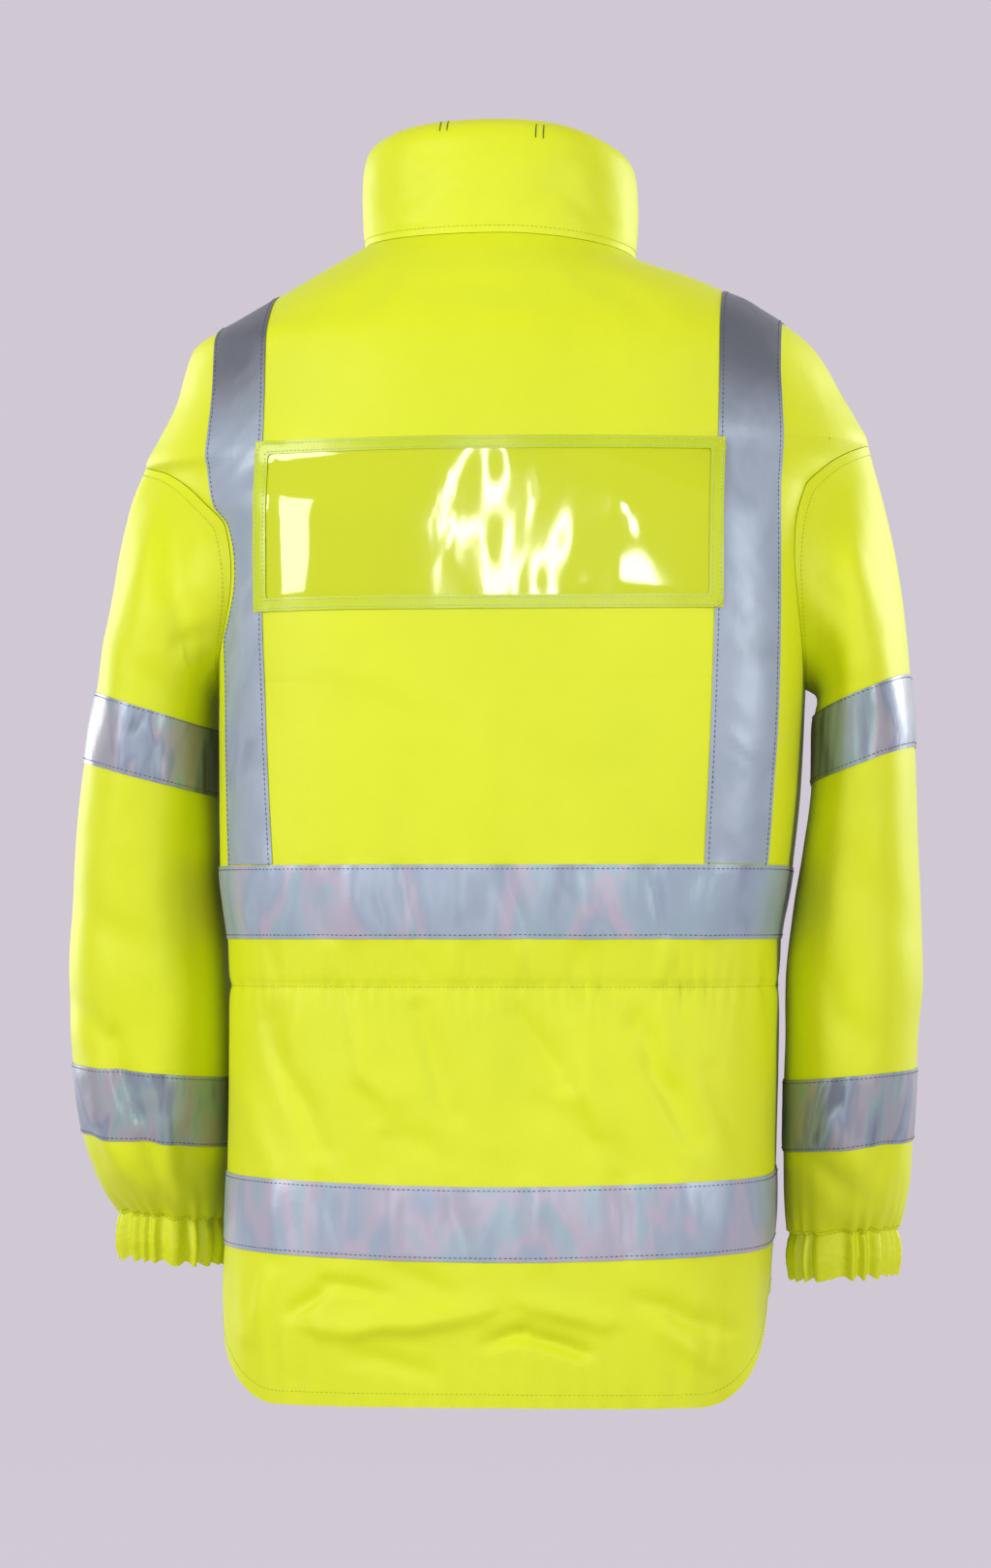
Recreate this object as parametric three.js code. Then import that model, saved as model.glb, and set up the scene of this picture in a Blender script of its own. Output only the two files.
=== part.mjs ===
import * as THREE from 'three';

// A hi-vis work jacket, filled out as it is worn, with nobody in it.
// Millimetres. +X is the wearer's left, +Y the back, -Y the front, +Z up.
// The origin lies midway between the shoulders, where the wearer carries the jacket.

// Cloth and tape
const CLOTH = 1.6;
const COLLAR_CLOTH = 3;
const TAPE = 1;
const TAPE_WIDTH = 50;
const LIFT = 0.3;
const HALF_SEAM = 0.15;
const HALF_ARMHOLE_SEAM = 0.3;
const DRAPE_REACH = 30;
const BRACE_LIFT = 1.1;
const WINDOW_LIFT = 0.6;
const DRAPE_PASSES = 4;
const DRAPE_SAMPLES = 4;

// Grid of the body
const BACK_COLUMNS_PER_SIDE = 14;
const FRONT_COLUMNS = 9;
const ARMHOLE_STEPS = 10;
const YOKE_ROWS = 6;
const SECTION_SAMPLES = 72;

// Centre front
const FRONT_EDGE = 7;
const BACK_NECK = 37;
const FRONT_NECK = -12;

// Armholes
const UNDERARM = -275;
const ARMHOLE_HALF_DEPTH = 100;

// Body depth by height: back is towards +Y, front towards -Y.
const DEPTHS = [
  { z: -800, back: 134, front: 129 },
  { z: -664, back: 139, front: 133 },
  { z: -560, back: 138, front: 132 },
  { z: -482, back: 136, front: 130 },
  { z: -425, back: 141, front: 134 },
  { z: -300, back: 148, front: 138 },
  { z: -200, back: 150, front: 136 },
  { z: -117, back: 147, front: 130 },
  { z: -69, back: 141, front: 123 },
  { z: -35, back: 133, front: 115 },
  { z: 0, back: 114, front: 104 },
  { z: 37, back: 78, front: 76 },
];

// Each side has its own outline, because the jacket hangs a little turned on its form.
// Outline: half width and squareness of the section by height.
// Sleeve: outer and inner point, half depth, middle depth and how much of the armhole's own form is left.
const SIDES = {
  left: {
    sign: 1,
    armholeTop: -117,
    yoke: [-100, -72, -36, -18, 8, 36],
    outline: [
      { z: -800, half: 190, corner: 3.4 },
      { z: -690, half: 193, corner: 3.4 },
      { z: -640, half: 191, corner: 3.3 },
      { z: -560, half: 190, corner: 3.2 },
      { z: -450, half: 190, corner: 3.2 },
      { z: -400, half: 196, corner: 3.2 },
      { z: -275, half: 197, corner: 3.2 },
      { z: -166, half: 199, corner: 3.2 },
      { z: -148, half: 217, corner: 2.7 },
      { z: -135, half: 231, corner: 2.3 },
      { z: -124, half: 243, corner: 2.05 },
      { z: -117, half: 254, corner: 1.95 },
      { z: -100, half: 246, corner: 1.95 },
      { z: -72, half: 232, corner: 2 },
      { z: -52, half: 226, corner: 2.05 },
      { z: -35, half: 219, corner: 2.1 },
      { z: -18, half: 190, corner: 2.15 },
      { z: 8, half: 146, corner: 2.2 },
      { z: 37, half: 96, corner: 2.2 },
    ],
    sleeve: [
      { outerX: 263, outerZ: -141, innerX: 202, innerZ: -282, half: 98, middle: 0, armhole: 0.55 },
      { outerX: 270, outerZ: -171, innerX: 203, innerZ: -287, half: 97, middle: -1, armhole: 0.25 },
      { outerX: 276, outerZ: -210, innerX: 203, innerZ: -292, half: 96, middle: -3, armhole: 0.08 },
      { outerX: 282.5, outerZ: -244, innerX: 203, innerZ: -297, half: 95, middle: -4, armhole: 0 },
      { outerX: 287, outerZ: -276, innerX: 203, innerZ: -303, half: 94, middle: -6, armhole: 0 },
      { outerX: 296, outerZ: -325, innerX: 203, innerZ: -350, half: 92, middle: -8, armhole: 0 },
      { outerX: 303, outerZ: -385, innerX: 202, innerZ: -396, half: 90, middle: -11, armhole: 0 },
      { outerX: 306, outerZ: -430, innerX: 198, innerZ: -438, half: 88, middle: -14, armhole: 0 },
      { outerX: 309, outerZ: -475, innerX: 196, innerZ: -480, half: 86, middle: -17, armhole: 0 },
      { outerX: 309, outerZ: -509, innerX: 195, innerZ: -514, half: 84, middle: -20, armhole: 0 },
      { outerX: 307, outerZ: -537, innerX: 195, innerZ: -547, half: 82, middle: -22, armhole: 0 },
      { outerX: 301, outerZ: -586, innerX: 196, innerZ: -596, half: 76, middle: -25, armhole: 0 },
      { outerX: 294, outerZ: -611, innerX: 198, innerZ: -618, half: 68, middle: -27, armhole: 0 },
      { outerX: 286, outerZ: -629, innerX: 200, innerZ: -634, half: 56, middle: -28, armhole: 0 },
      { outerX: 278, outerZ: -640, innerX: 203, innerZ: -646, half: 44, middle: -29, armhole: 0 },
    ],
    cuff: { drop: 34, gathers: 20, depth: 3.2 },
  },
  right: {
    sign: -1,
    armholeTop: -106,
    yoke: [-90, -66, -36, -18, 4, 28],
    outline: [
      { z: -800, half: 184, corner: 3.6 },
      { z: -690, half: 186, corner: 3.8 },
      { z: -640, half: 189, corner: 4 },
      { z: -560, half: 191, corner: 4.2 },
      { z: -450, half: 193, corner: 4.6 },
      { z: -400, half: 201, corner: 5 },
      { z: -345, half: 207, corner: 5.4 },
      { z: -275, half: 211, corner: 5.6 },
      { z: -166, half: 214, corner: 4.6 },
      { z: -139, half: 224, corner: 3.2 },
      { z: -127, half: 238, corner: 2.5 },
      { z: -117, half: 249, corner: 2.1 },
      { z: -106, half: 256, corner: 1.95 },
      { z: -86, half: 247, corner: 1.95 },
      { z: -69, half: 237, corner: 2 },
      { z: -52, half: 228, corner: 2.05 },
      { z: -35, half: 216, corner: 2.1 },
      { z: -18, half: 194, corner: 2.15 },
      { z: 8, half: 144, corner: 2.2 },
      { z: 29, half: 92, corner: 2.2 },
      { z: 37, half: 90, corner: 2.2 },
    ],
    sleeve: [
      { outerX: 264, outerZ: -135, innerX: 219, innerZ: -280, half: 98, middle: 0, armhole: 0.55 },
      { outerX: 271, outerZ: -166, innerX: 220, innerZ: -283, half: 97, middle: -1, armhole: 0.25 },
      { outerX: 277, outerZ: -201, innerX: 220, innerZ: -286, half: 96, middle: -3, armhole: 0.08 },
      { outerX: 281.5, outerZ: -235, innerX: 219, innerZ: -290, half: 95, middle: -4, armhole: 0 },
      { outerX: 284, outerZ: -266, innerX: 218, innerZ: -295, half: 94, middle: -6, armhole: 0 },
      { outerX: 288, outerZ: -316, innerX: 216, innerZ: -343, half: 92, middle: -8, armhole: 0 },
      { outerX: 290, outerZ: -375, innerX: 210, innerZ: -388, half: 90, middle: -11, armhole: 0 },
      { outerX: 291.5, outerZ: -425, innerX: 203, innerZ: -432, half: 88, middle: -14, armhole: 0 },
      { outerX: 293, outerZ: -475, innerX: 197.5, innerZ: -478, half: 86, middle: -17, armhole: 0 },
      { outerX: 290, outerZ: -511, innerX: 197, innerZ: -515, half: 84, middle: -20, armhole: 0 },
      { outerX: 288, outerZ: -540, innerX: 196, innerZ: -548, half: 82, middle: -22, armhole: 0 },
      { outerX: 285.5, outerZ: -590, innerX: 195, innerZ: -598, half: 76, middle: -25, armhole: 0 },
      { outerX: 284, outerZ: -616, innerX: 195, innerZ: -620, half: 68, middle: -27, armhole: 0 },
      { outerX: 280, outerZ: -637, innerX: 196, innerZ: -640, half: 56, middle: -28, armhole: 0 },
      { outerX: 276, outerZ: -650, innerX: 198, innerZ: -654, half: 44, middle: -29, armhole: 0 },
    ],
    cuff: { drop: 34, gathers: 20, depth: 3.2 },
  },
};

// The sleeve sections that carry a tape, by their place in the sleeve table.
const SLEEVE_TAPES = { upper: 4, lower: 10 };

// Rows of the body below the underarm: heights at the side seam, centre back and centre front.
// Puckered rows have the gathers of the waist cord.
const BODY_ROWS = [
  { name: 'hem', side: -697, back: -765, front: -702 },
  { name: 'turn-up', side: -687, back: -755, front: -692 },
  { name: 'tail', side: -674, back: -716, front: -678 },
  { name: 'lower tape, bottom', side: -659.5, back: -667, front: -662 },
  { name: 'lower tape, top', side: -609.5, back: -616.5, front: -612 },
  { name: 'skirt', side: -583, back: -587, front: -584 },
  { name: 'skirt', side: -548, back: -550, front: -548 },
  { name: 'skirt', side: -518, back: -518, front: -518 },
  { name: 'below the cord', side: -497, back: -497, front: -497, pucker: 0.5 },
  { name: 'cord', side: -482, back: -482, front: -482, pucker: 1, drawn: 1.2 },
  { name: 'above the cord', side: -467, back: -467, front: -467, pucker: 0.5 },
  { name: 'waist tape, bottom', side: -449.5, back: -449.5, front: -449.5 },
  { name: 'waist tape, top', side: -399.5, back: -399.5, front: -399.5 },
  { name: 'chest', side: -358, back: -358, front: -358 },
  { name: 'chest', side: -316, back: -316, front: -316 },
];
const LOWER_TAPE_ROW = 3;
const WAIST_TAPE_ROW = 11;
const HEM_ROWS = 3;
const HEM_RISE_START = 0.42;
const PUCKER_DEPTH = 1.3;
const WAIST_GATHERS = 32;

// The largest folds, as strokes seen from behind: a negative depth is a trough, a positive one a ridge.
const FOLDS = [
  { on: 'back', fromX: 47, fromZ: -498, toX: 24, toZ: -567, spread: 14, depth: -3 },
  { on: 'back', fromX: -18, fromZ: -502, toX: -50, toZ: -547, spread: 14, depth: -3 },
  { on: 'back', fromX: -64, fromZ: -508, toX: -76, toZ: -590, spread: 20, depth: 3 },
  { on: 'back', fromX: -99, fromZ: -508, toX: -138, toZ: -583, spread: 16, depth: -3.5 },
  { on: 'back', fromX: 155, fromZ: -508, toX: 112, toZ: -590, spread: 18, depth: -3 },
  { on: 'back', fromX: 93, fromZ: -502, toX: 67, toZ: -573, spread: 22, depth: 2.5 },
  { on: 'back', fromX: 132, fromZ: -704, toX: 80, toZ: -684, spread: 9, depth: -3 },
  { on: 'back', fromX: 110, fromZ: -712, toX: 5, toZ: -706, spread: 16, depth: 3.5 },
  { on: 'back', fromX: -5, fromZ: -722, toX: -64, toZ: -727, spread: 10, depth: -4 },
  { on: 'back', fromX: -103, fromZ: -694, toX: -160, toZ: -716, spread: 10, depth: -3 },
  { on: 'sleeve_left', fromX: 267, fromZ: -539, toX: 237, toZ: -618, spread: 11, depth: -5 },
  { on: 'sleeve_left', fromX: 222, fromZ: -190, toX: 216, toZ: -262, spread: 14, depth: -6 },
  { on: 'sleeve_left', fromX: 290, fromZ: -430, toX: 240, toZ: -455, spread: 18, depth: -4 },
  { on: 'sleeve_right', fromX: -232, fromZ: -180, toX: -236, toZ: -270, spread: 14, depth: -6 },
  { on: 'sleeve_right', fromX: -240, fromZ: -400, toX: -280, toZ: -440, spread: 18, depth: -4 },
  { on: 'sleeve_right', fromX: -215, fromZ: -470, toX: -250, toZ: -520, spread: 16, depth: -4 },
];

// Collar: share of its height, how far its outside stands out, and the grid.
const COLLAR_HEIGHT = { back: 81, side: 76, front: 84 };
const COLLAR_PROFILE = [
  { share: 0, out: 0 },
  { share: 0.3, out: 0.6 },
  { share: 0.6, out: 0.3 },
  { share: 0.82, out: -2 },
  { share: 0.94, out: -7 },
  { share: 1, out: -14 },
];

// Over-shoulder braces
const BRACE_EDGE = [
  { z: -400, x: 147 },
  { z: -300, x: 152 },
  { z: -200, x: 155 },
  { z: -60, x: 156 },
];
const BRACE_TURN = -60;
const BRACE_COLUMNS = 4;
const BRACE_TURN_STEPS = 7;
const BRACE_CLEAR = 6;
const BRACE_HEIGHTS = [-398.6, -358, -316, -275, -232, -190, -150, -110, -80];

// Clear window on the back
const WINDOW = { halfWidth: 160, top: -110, bottom: -227, border: 9, columns: 14, rows: 4 };
const WINDOW_SHEET = 1;
const BORDER_CLOTH = 1;

// Zip
const ZIP_TAPE_IN = 2.6;
const ZIP_TAPE_OUT = 15;
const ZIP_CHAIN_HALF = 2.3;
const ZIP_TAPE_CLOTH = 1;
const CHAIN_RISE = 1.4;
const BODY_BEND = 0.4;
const COLLAR_BEND = 2.4;
const SLIDER = { width: 9, depth: 3, height: 11 };
const PULL = { width: 6, depth: 1.6, length: 30 };

const FINISHES = {
  cloth: { color: 0xdfeb1b, roughness: 0.55, metalness: 0 },
  tape: { color: 0xb0b9c9, roughness: 0.4, metalness: 0.3 },
  window: { color: 0xe2ec63, roughness: 0.12, metalness: 0 },
  zip: { color: 0xc9d620, roughness: 0.6, metalness: 0 },
  metal: { color: 0x8a8f94, roughness: 0.35, metalness: 0.9 },
};

// Returns a smooth function of one column of a table that is sorted by its key.
function curve(rows, key, column) {
  const at = rows.map((row) => row[key]);
  const value = rows.map((row) => row[column]);
  const slope = at.slice(1).map((next, i) => (value[i + 1] - value[i]) / (next - at[i]));
  const tangent = at.map((_, i) => {
    if (i === 0) return slope[0];
    if (i === at.length - 1) return slope[i - 1];
    if (slope[i - 1] * slope[i] <= 0) return 0;
    return (2 * slope[i - 1] * slope[i]) / (slope[i - 1] + slope[i]);
  });
  return (x) => {
    const inside = Math.min(Math.max(x, at[0]), at[at.length - 1]);
    let i = 0;
    while (i < at.length - 2 && inside > at[i + 1]) i += 1;
    const width = at[i + 1] - at[i];
    const t = (inside - at[i]) / width;
    const back = 1 - t;
    return value[i] * back * back * (1 + 2 * t) + value[i + 1] * t * t * (3 - 2 * t)
      + width * tangent[i] * t * back * back - width * tangent[i + 1] * t * t * back;
  };
}

function smoothStep(value) {
  const t = Math.min(Math.max(value, 0), 1);
  return t * t * (3 - 2 * t);
}

const backDepth = curve(DEPTHS, 'z', 'back');
const frontDepth = curve(DEPTHS, 'z', 'front');
for (const side of Object.values(SIDES)) {
  side.halfWidth = curve(side.outline, 'z', 'half');
  side.corner = curve(side.outline, 'z', 'corner');
}

// Depth of the armhole seam at a height: zero above the shoulder tip and below the underarm.
function armholeDepth(side, z) {
  const middle = (side.armholeTop + UNDERARM) / 2;
  const reach = (side.armholeTop - UNDERARM) / 2;
  const level = (z - middle) / reach;
  return ARMHOLE_HALF_DEPTH * Math.sqrt(Math.max(0, 1 - level * level));
}

// One quarter of a body section: x grows to the side while the depth falls to the side seam.
function quarter(side, face, z) {
  const half = side.halfWidth(z);
  const depth = face > 0 ? backDepth(z) : frontDepth(z);
  const power = 2 / side.corner(z);
  const points = [];
  let length = 0;
  for (let i = 0; i <= SECTION_SAMPLES; i += 1) {
    const angle = (i / SECTION_SAMPLES) * (Math.PI / 2);
    const x = half * Math.sin(angle) ** power;
    const y = i === SECTION_SAMPLES ? 0 : depth * Math.cos(angle) ** power;
    if (i > 0) length += Math.hypot(x - points[i - 1].x, y - points[i - 1].y);
    points.push({ x, y, length });
  }
  return points;
}

// Finds the point where a column of the quarter section reaches a value.
function along(points, column, value, falling = false) {
  let i = 1;
  while (i < points.length - 1 && (falling ? points[i][column] > value : points[i][column] < value)) i += 1;
  const a = points[i - 1];
  const b = points[i];
  const span = b[column] - a[column];
  const t = span === 0 ? 0 : Math.min(Math.max((value - a[column]) / span, 0), 1);
  return {
    x: a.x + (b.x - a.x) * t,
    y: a.y + (b.y - a.y) * t,
    length: a.length + (b.length - a.length) * t,
  };
}

// A point on the body's outside. Share runs from the centre line, or the front edge, to the seam.
function bodyPoint(side, face, share, z) {
  const points = quarter(side, face, z);
  const seam = along(points, 'y', armholeDepth(side, z), true).length;
  const start = face > 0 ? 0 : FRONT_EDGE;
  const place = along(points, 'length', start + (seam - start) * share);
  return new THREE.Vector3(side.sign * place.x, face * place.y, z);
}

// A point on the body's outside at a given distance from the centre line along the section.
function bodyPointAt(side, face, distance, z) {
  const place = along(quarter(side, face, z), 'length', distance);
  return new THREE.Vector3(side.sign * place.x, face * place.y, z);
}

// The outward direction from two directions in the surface and a rough way out.
function outward(across, up, roughly) {
  const out = across.clone().cross(up).normalize();
  return out.dot(roughly) < 0 ? out.negate() : out;
}

function bodyOut(side, face, share, z) {
  const step = 0.01;
  const rise = 1;
  const low = Math.max(share - step, 0);
  const high = Math.min(share + step, 1);
  const across = bodyPoint(side, face, high, z).sub(bodyPoint(side, face, low, z));
  const up = bodyPoint(side, face, share, z + rise).sub(bodyPoint(side, face, share, z - rise));
  const roughly = new THREE.Vector3(side.sign * 0.6 * share, face * (1.05 - share), 0.05);
  const out = outward(across, up, roughly);
  if (share === 1 && armholeDepth(side, z) === 0) out.setY(0).normalize();
  if (share === 0 && face > 0) out.setX(0).normalize();
  return out;
}

// How far the cloth stands out or sinks at a point, from the folds of its piece.
function relief(piece, at, out) {
  let height = 0;
  for (const fold of FOLDS) {
    if (fold.on !== piece) continue;
    const dx = fold.toX - fold.fromX;
    const dz = fold.toZ - fold.fromZ;
    const t = ((at.x - fold.fromX) * dx + (at.z - fold.fromZ) * dz) / (dx * dx + dz * dz);
    const near = Math.min(Math.max(t, 0), 1);
    const away = Math.hypot(at.x - fold.fromX - dx * near, at.z - fold.fromZ - dz * near);
    height += fold.depth * Math.exp(-((away / fold.spread) ** 2));
  }
  return height * Math.max(0, out.y);
}

// Heights of one body row at the two side seams, the centre back and the centre front.
function bodyRows() {
  const rows = BODY_ROWS.map((row) => ({
    left: row.side,
    right: row.side,
    back: row.back,
    front: row.front,
    pucker: row.pucker ?? 0,
    drawn: row.drawn ?? 0,
  }));
  const upper = ARMHOLE_STEPS + YOKE_ROWS;
  for (let i = 0; i <= upper; i += 1) {
    const row = { pucker: 0, drawn: 0 };
    row.back = UNDERARM + ((BACK_NECK - UNDERARM) * i) / upper;
    row.front = UNDERARM + ((FRONT_NECK - UNDERARM) * i) / upper;
    for (const [name, side] of Object.entries(SIDES)) {
      const middle = (side.armholeTop + UNDERARM) / 2;
      const reach = (side.armholeTop - UNDERARM) / 2;
      row[name] = i <= ARMHOLE_STEPS
        ? middle - reach * Math.cos((Math.PI * i) / ARMHOLE_STEPS)
        : side.yoke[i - ARMHOLE_STEPS - 1];
    }
    rows.push(row);
  }
  return rows;
}

const ROWS = bodyRows();
const UNDERARM_ROW = BODY_ROWS.length;
const TIP_ROW = UNDERARM_ROW + ARMHOLE_STEPS;
const NECK_ROW = ROWS.length - 1;

// Height of a row at a share of the way to the seam: the hem rises late, the front neck is scooped.
function rowHeight(index, face, centre, seam, share) {
  const start = index < HEM_ROWS ? HEM_RISE_START : 0;
  const even = smoothStep((share - start) / (1 - start));
  const scooped = 1 - (1 - share) ** 3;
  return centre + (seam - centre) * (face < 0 && index >= UNDERARM_ROW ? scooped : even);
}

function bodyKnot(sideName, face, share, index) {
  const side = SIDES[sideName];
  const row = ROWS[index];
  const z = rowHeight(index, face, face > 0 ? row.back : row.front, row[sideName], share);
  const at = bodyPoint(side, face, share, z);
  const out = bodyOut(side, face, share, z);
  const fade = smoothStep((1 - share) / 0.12);
  const wave = Math.cos(share * WAIST_GATHERS * Math.PI);
  const shift = (face > 0 ? relief('back', at, out) : 0)
    + row.pucker * PUCKER_DEPTH * wave - row.drawn;
  at.addScaledVector(out, shift * fade);
  return { at, out };
}

// Parts two pieces at a seam: both move half a gap away from it, along the seam's own plane.
function seamKnots(knots, towards, halfGap = () => HALF_SEAM) {
  return knots.map((knot, i) => {
    const before = knots[Math.max(i - 1, 0)].at;
    const after = knots[Math.min(i + 1, knots.length - 1)].at;
    const way = after.clone().sub(before).cross(knot.out).normalize();
    if (way.dot(towards[i]) < 0) way.negate();
    return { at: knot.at.clone().addScaledVector(way, halfGap(i)), out: knot.out };
  });
}

function seamGap(index) {
  return index >= UNDERARM_ROW && index <= TIP_ROW ? HALF_ARMHOLE_SEAM : HALF_SEAM;
}

// The body as a grid of knots: every row runs from the right seam or front edge to the left one.
function panelRows(face, sideNames, columns) {
  return ROWS.map((row, index) => {
    const doubled = row.pucker > 0 ? 2 : 1;
    const steps = columns * doubled;
    const knots = [];
    if (sideNames.length === 2) {
      for (let i = -steps; i <= steps; i += 1) {
        const name = i < 0 ? 'right' : 'left';
        knots.push({ ...bodyKnot(name, face, Math.abs(i) / steps, index), share: i / steps });
      }
      return knots;
    }
    for (let i = 0; i <= steps; i += 1) {
      knots.push({ ...bodyKnot(sideNames[0], face, i / steps, index), share: i / steps });
    }
    return knots;
  });
}

// A point of a sleeve's section. Near the armhole it leans towards the armhole's own shape.
function sleeveSection(side, row, angle, armholePoint, firstRing) {
  const outer = new THREE.Vector3(side.sign * row.outerX, 0, row.outerZ);
  const inner = new THREE.Vector3(side.sign * row.innerX, 0, row.innerZ);
  const middle = outer.clone().add(inner).multiplyScalar(0.5);
  const reach = outer.clone().sub(inner).multiplyScalar(0.5);
  const fullness = 2 / 2.3;
  const c = Math.sign(Math.cos(angle)) * Math.abs(Math.cos(angle)) ** fullness;
  const s = Math.sign(Math.sin(angle)) * Math.abs(Math.sin(angle)) ** fullness;
  const at = middle.addScaledVector(reach, c);
  at.y = row.middle + row.half * s;
  if (row.armhole > 0) {
    const own = armholePoint.clone().sub(firstRing);
    at.addScaledVector(own, row.armhole);
  }
  return at;
}

// The armhole seam of one side, from the underarm up the back, over the tip and down the front.
function armholeLoop(sideName) {
  const loop = [];
  for (let i = 0; i <= ARMHOLE_STEPS; i += 1) {
    const knot = bodyKnot(sideName, 1, 1, UNDERARM_ROW + i);
    loop.push({ ...knot, angle: Math.PI - (Math.PI * i) / ARMHOLE_STEPS });
  }
  for (let i = ARMHOLE_STEPS - 1; i > 0; i -= 1) {
    const knot = bodyKnot(sideName, -1, 1, UNDERARM_ROW + i);
    loop.push({ ...knot, angle: -(Math.PI - (Math.PI * i) / ARMHOLE_STEPS) });
  }
  return loop;
}

// All sections of a sleeve, with the armhole seam first and the cuff seam last.
function sleeveRings(sideName) {
  const side = SIDES[sideName];
  const loop = armholeLoop(sideName);
  const tip = loop[ARMHOLE_STEPS].at;
  const underarm = loop[0].at;
  const flat = { outerX: Math.abs(tip.x), outerZ: tip.z, innerX: Math.abs(underarm.x), innerZ: underarm.z };
  const first = { ...flat, half: ARMHOLE_HALF_DEPTH, middle: 0, armhole: 0 };
  const plain = loop.map((knot) => sleeveSection(side, first, knot.angle));
  const points = [loop.map((knot) => knot.at.clone())];
  for (const row of side.sleeve) {
    points.push(loop.map((knot, i) => sleeveSection(side, row, knot.angle, knot.at, plain[i])));
  }
  const count = loop.length;
  return points.map((ring, r) => ring.map((at, i) => {
    const next = ring[(i + 1) % count];
    const before = ring[(i + count - 1) % count];
    const below = points[Math.min(r + 1, points.length - 1)][i];
    const above = points[Math.max(r - 1, 0)][i];
    const centre = ring.reduce((sum, point) => sum.add(point), new THREE.Vector3()).divideScalar(count);
    const out = outward(next.clone().sub(before), below.clone().sub(above), at.clone().sub(centre));
    return { at, out, share: i / count };
  }));
}

const SLEEVES = Object.fromEntries(Object.keys(SIDES).map((name) => [name, sleeveRings(name)]));

// At the armhole, body and sleeve share the mean of their outward directions.
function armholeOuts(sideName) {
  const loop = armholeLoop(sideName);
  return loop.map((knot, i) => knot.out.clone().add(SLEEVES[sideName][0][i].out).normalize());
}

const ARMHOLE_OUTS = Object.fromEntries(Object.keys(SIDES).map((name) => [name, armholeOuts(name)]));

// The shared direction at the end of a panel's row, or null away from the armhole.
function sharedOut(sideName, face, index) {
  const i = index - UNDERARM_ROW;
  if (i < 0 || i > ARMHOLE_STEPS) return null;
  const outs = ARMHOLE_OUTS[sideName];
  return face > 0 ? outs[i] : outs[(outs.length - i) % outs.length];
}

// The neck seam's outward direction: halfway between the sloping shoulder and the upright collar.
function neckOut(knot) {
  const level = knot.out.clone().setZ(0);
  if (level.lengthSq() < 0.0001) return knot.out;
  return knot.out.clone().add(level.normalize()).normalize();
}

// Opens the seams of a body panel: side, armhole and shoulder at its ends, the neck at its top.
function openPanel(rows, face, endNames) {
  const sides = { left: endNames.includes('left'), right: endNames.includes('right') };
  for (const [name, has] of Object.entries(sides)) {
    if (!has) continue;
    const last = (row) => (name === 'left' || endNames.length === 1 ? row.length - 1 : 0);
    const inner = (row) => (last(row) === 0 ? 1 : row.length - 2);
    rows.forEach((row, index) => {
      const out = sharedOut(name, face, index);
      if (out) row[last(row)].out = out;
    });
    const edge = rows.map((row) => row[last(row)]);
    const towards = rows.map((row) => row[inner(row)].at.clone().sub(row[last(row)].at));
    const moved = seamKnots(edge, towards, seamGap);
    rows.forEach((row, index) => {
      row[last(row)] = { ...row[last(row)], at: moved[index].at };
    });
  }
  const neck = rows[rows.length - 1];
  neck.forEach((knot) => {
    knot.out = neckOut(knot);
  });
  const down = neck.map(() => new THREE.Vector3(0, 0, -1));
  seamKnots(neck, down).forEach((knot, i) => {
    neck[i] = { ...neck[i], at: knot.at };
  });
  return rows;
}

// Links two neighbouring rows of vertices with triangles, also where one row has more of them.
function link(triangles, lower, upper) {
  let i = 0;
  let j = 0;
  while (i < lower.length - 1 || j < upper.length - 1) {
    const stepLower = j === upper.length - 1
      || (i < lower.length - 1 && lower[i + 1].share <= upper[j + 1].share + 1e-9);
    if (stepLower) {
      triangles.push([lower[i].id, lower[i + 1].id, upper[j].id]);
      i += 1;
    } else {
      triangles.push([lower[i].id, upper[j + 1].id, upper[j].id]);
      j += 1;
    }
  }
}

// Builds a closed wall between two distances from the rows' points, as one body.
function wall(rows, near, far, closed = false) {
  const positions = [];
  const triangles = [];
  const layer = (distance) => rows.map((row) => {
    const ids = row.map((knot) => {
      const point = knot.at.clone().addScaledVector(knot.out, distance);
      positions.push(point.x, point.y, point.z);
      return { id: positions.length / 3 - 1, share: knot.share };
    });
    if (closed) ids.push({ id: ids[0].id, share: ids[0].share + 1 });
    return ids;
  });
  const outer = layer(far);
  const inner = layer(near);
  const inside = [];
  for (let r = 0; r < rows.length - 1; r += 1) {
    link(triangles, outer[r], outer[r + 1]);
    link(inside, inner[r], inner[r + 1]);
  }
  inside.forEach(([a, b, c]) => triangles.push([a, c, b]));
  const quad = (a, b, c, d) => triangles.push([a, b, c], [a, c, d]);
  const bottom = 0;
  const top = rows.length - 1;
  for (let i = 0; i < outer[bottom].length - 1; i += 1) {
    quad(outer[bottom][i + 1].id, outer[bottom][i].id, inner[bottom][i].id, inner[bottom][i + 1].id);
  }
  for (let i = 0; i < outer[top].length - 1; i += 1) {
    quad(outer[top][i].id, outer[top][i + 1].id, inner[top][i + 1].id, inner[top][i].id);
  }
  if (!closed) {
    for (let r = 0; r < rows.length - 1; r += 1) {
      const end = outer[r].length - 1;
      const nextEnd = outer[r + 1].length - 1;
      quad(outer[r][0].id, outer[r + 1][0].id, inner[r + 1][0].id, inner[r][0].id);
      quad(outer[r + 1][nextEnd].id, outer[r][end].id, inner[r][end].id, inner[r + 1][nextEnd].id);
    }
  }
  return solid(positions, triangles);
}

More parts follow.
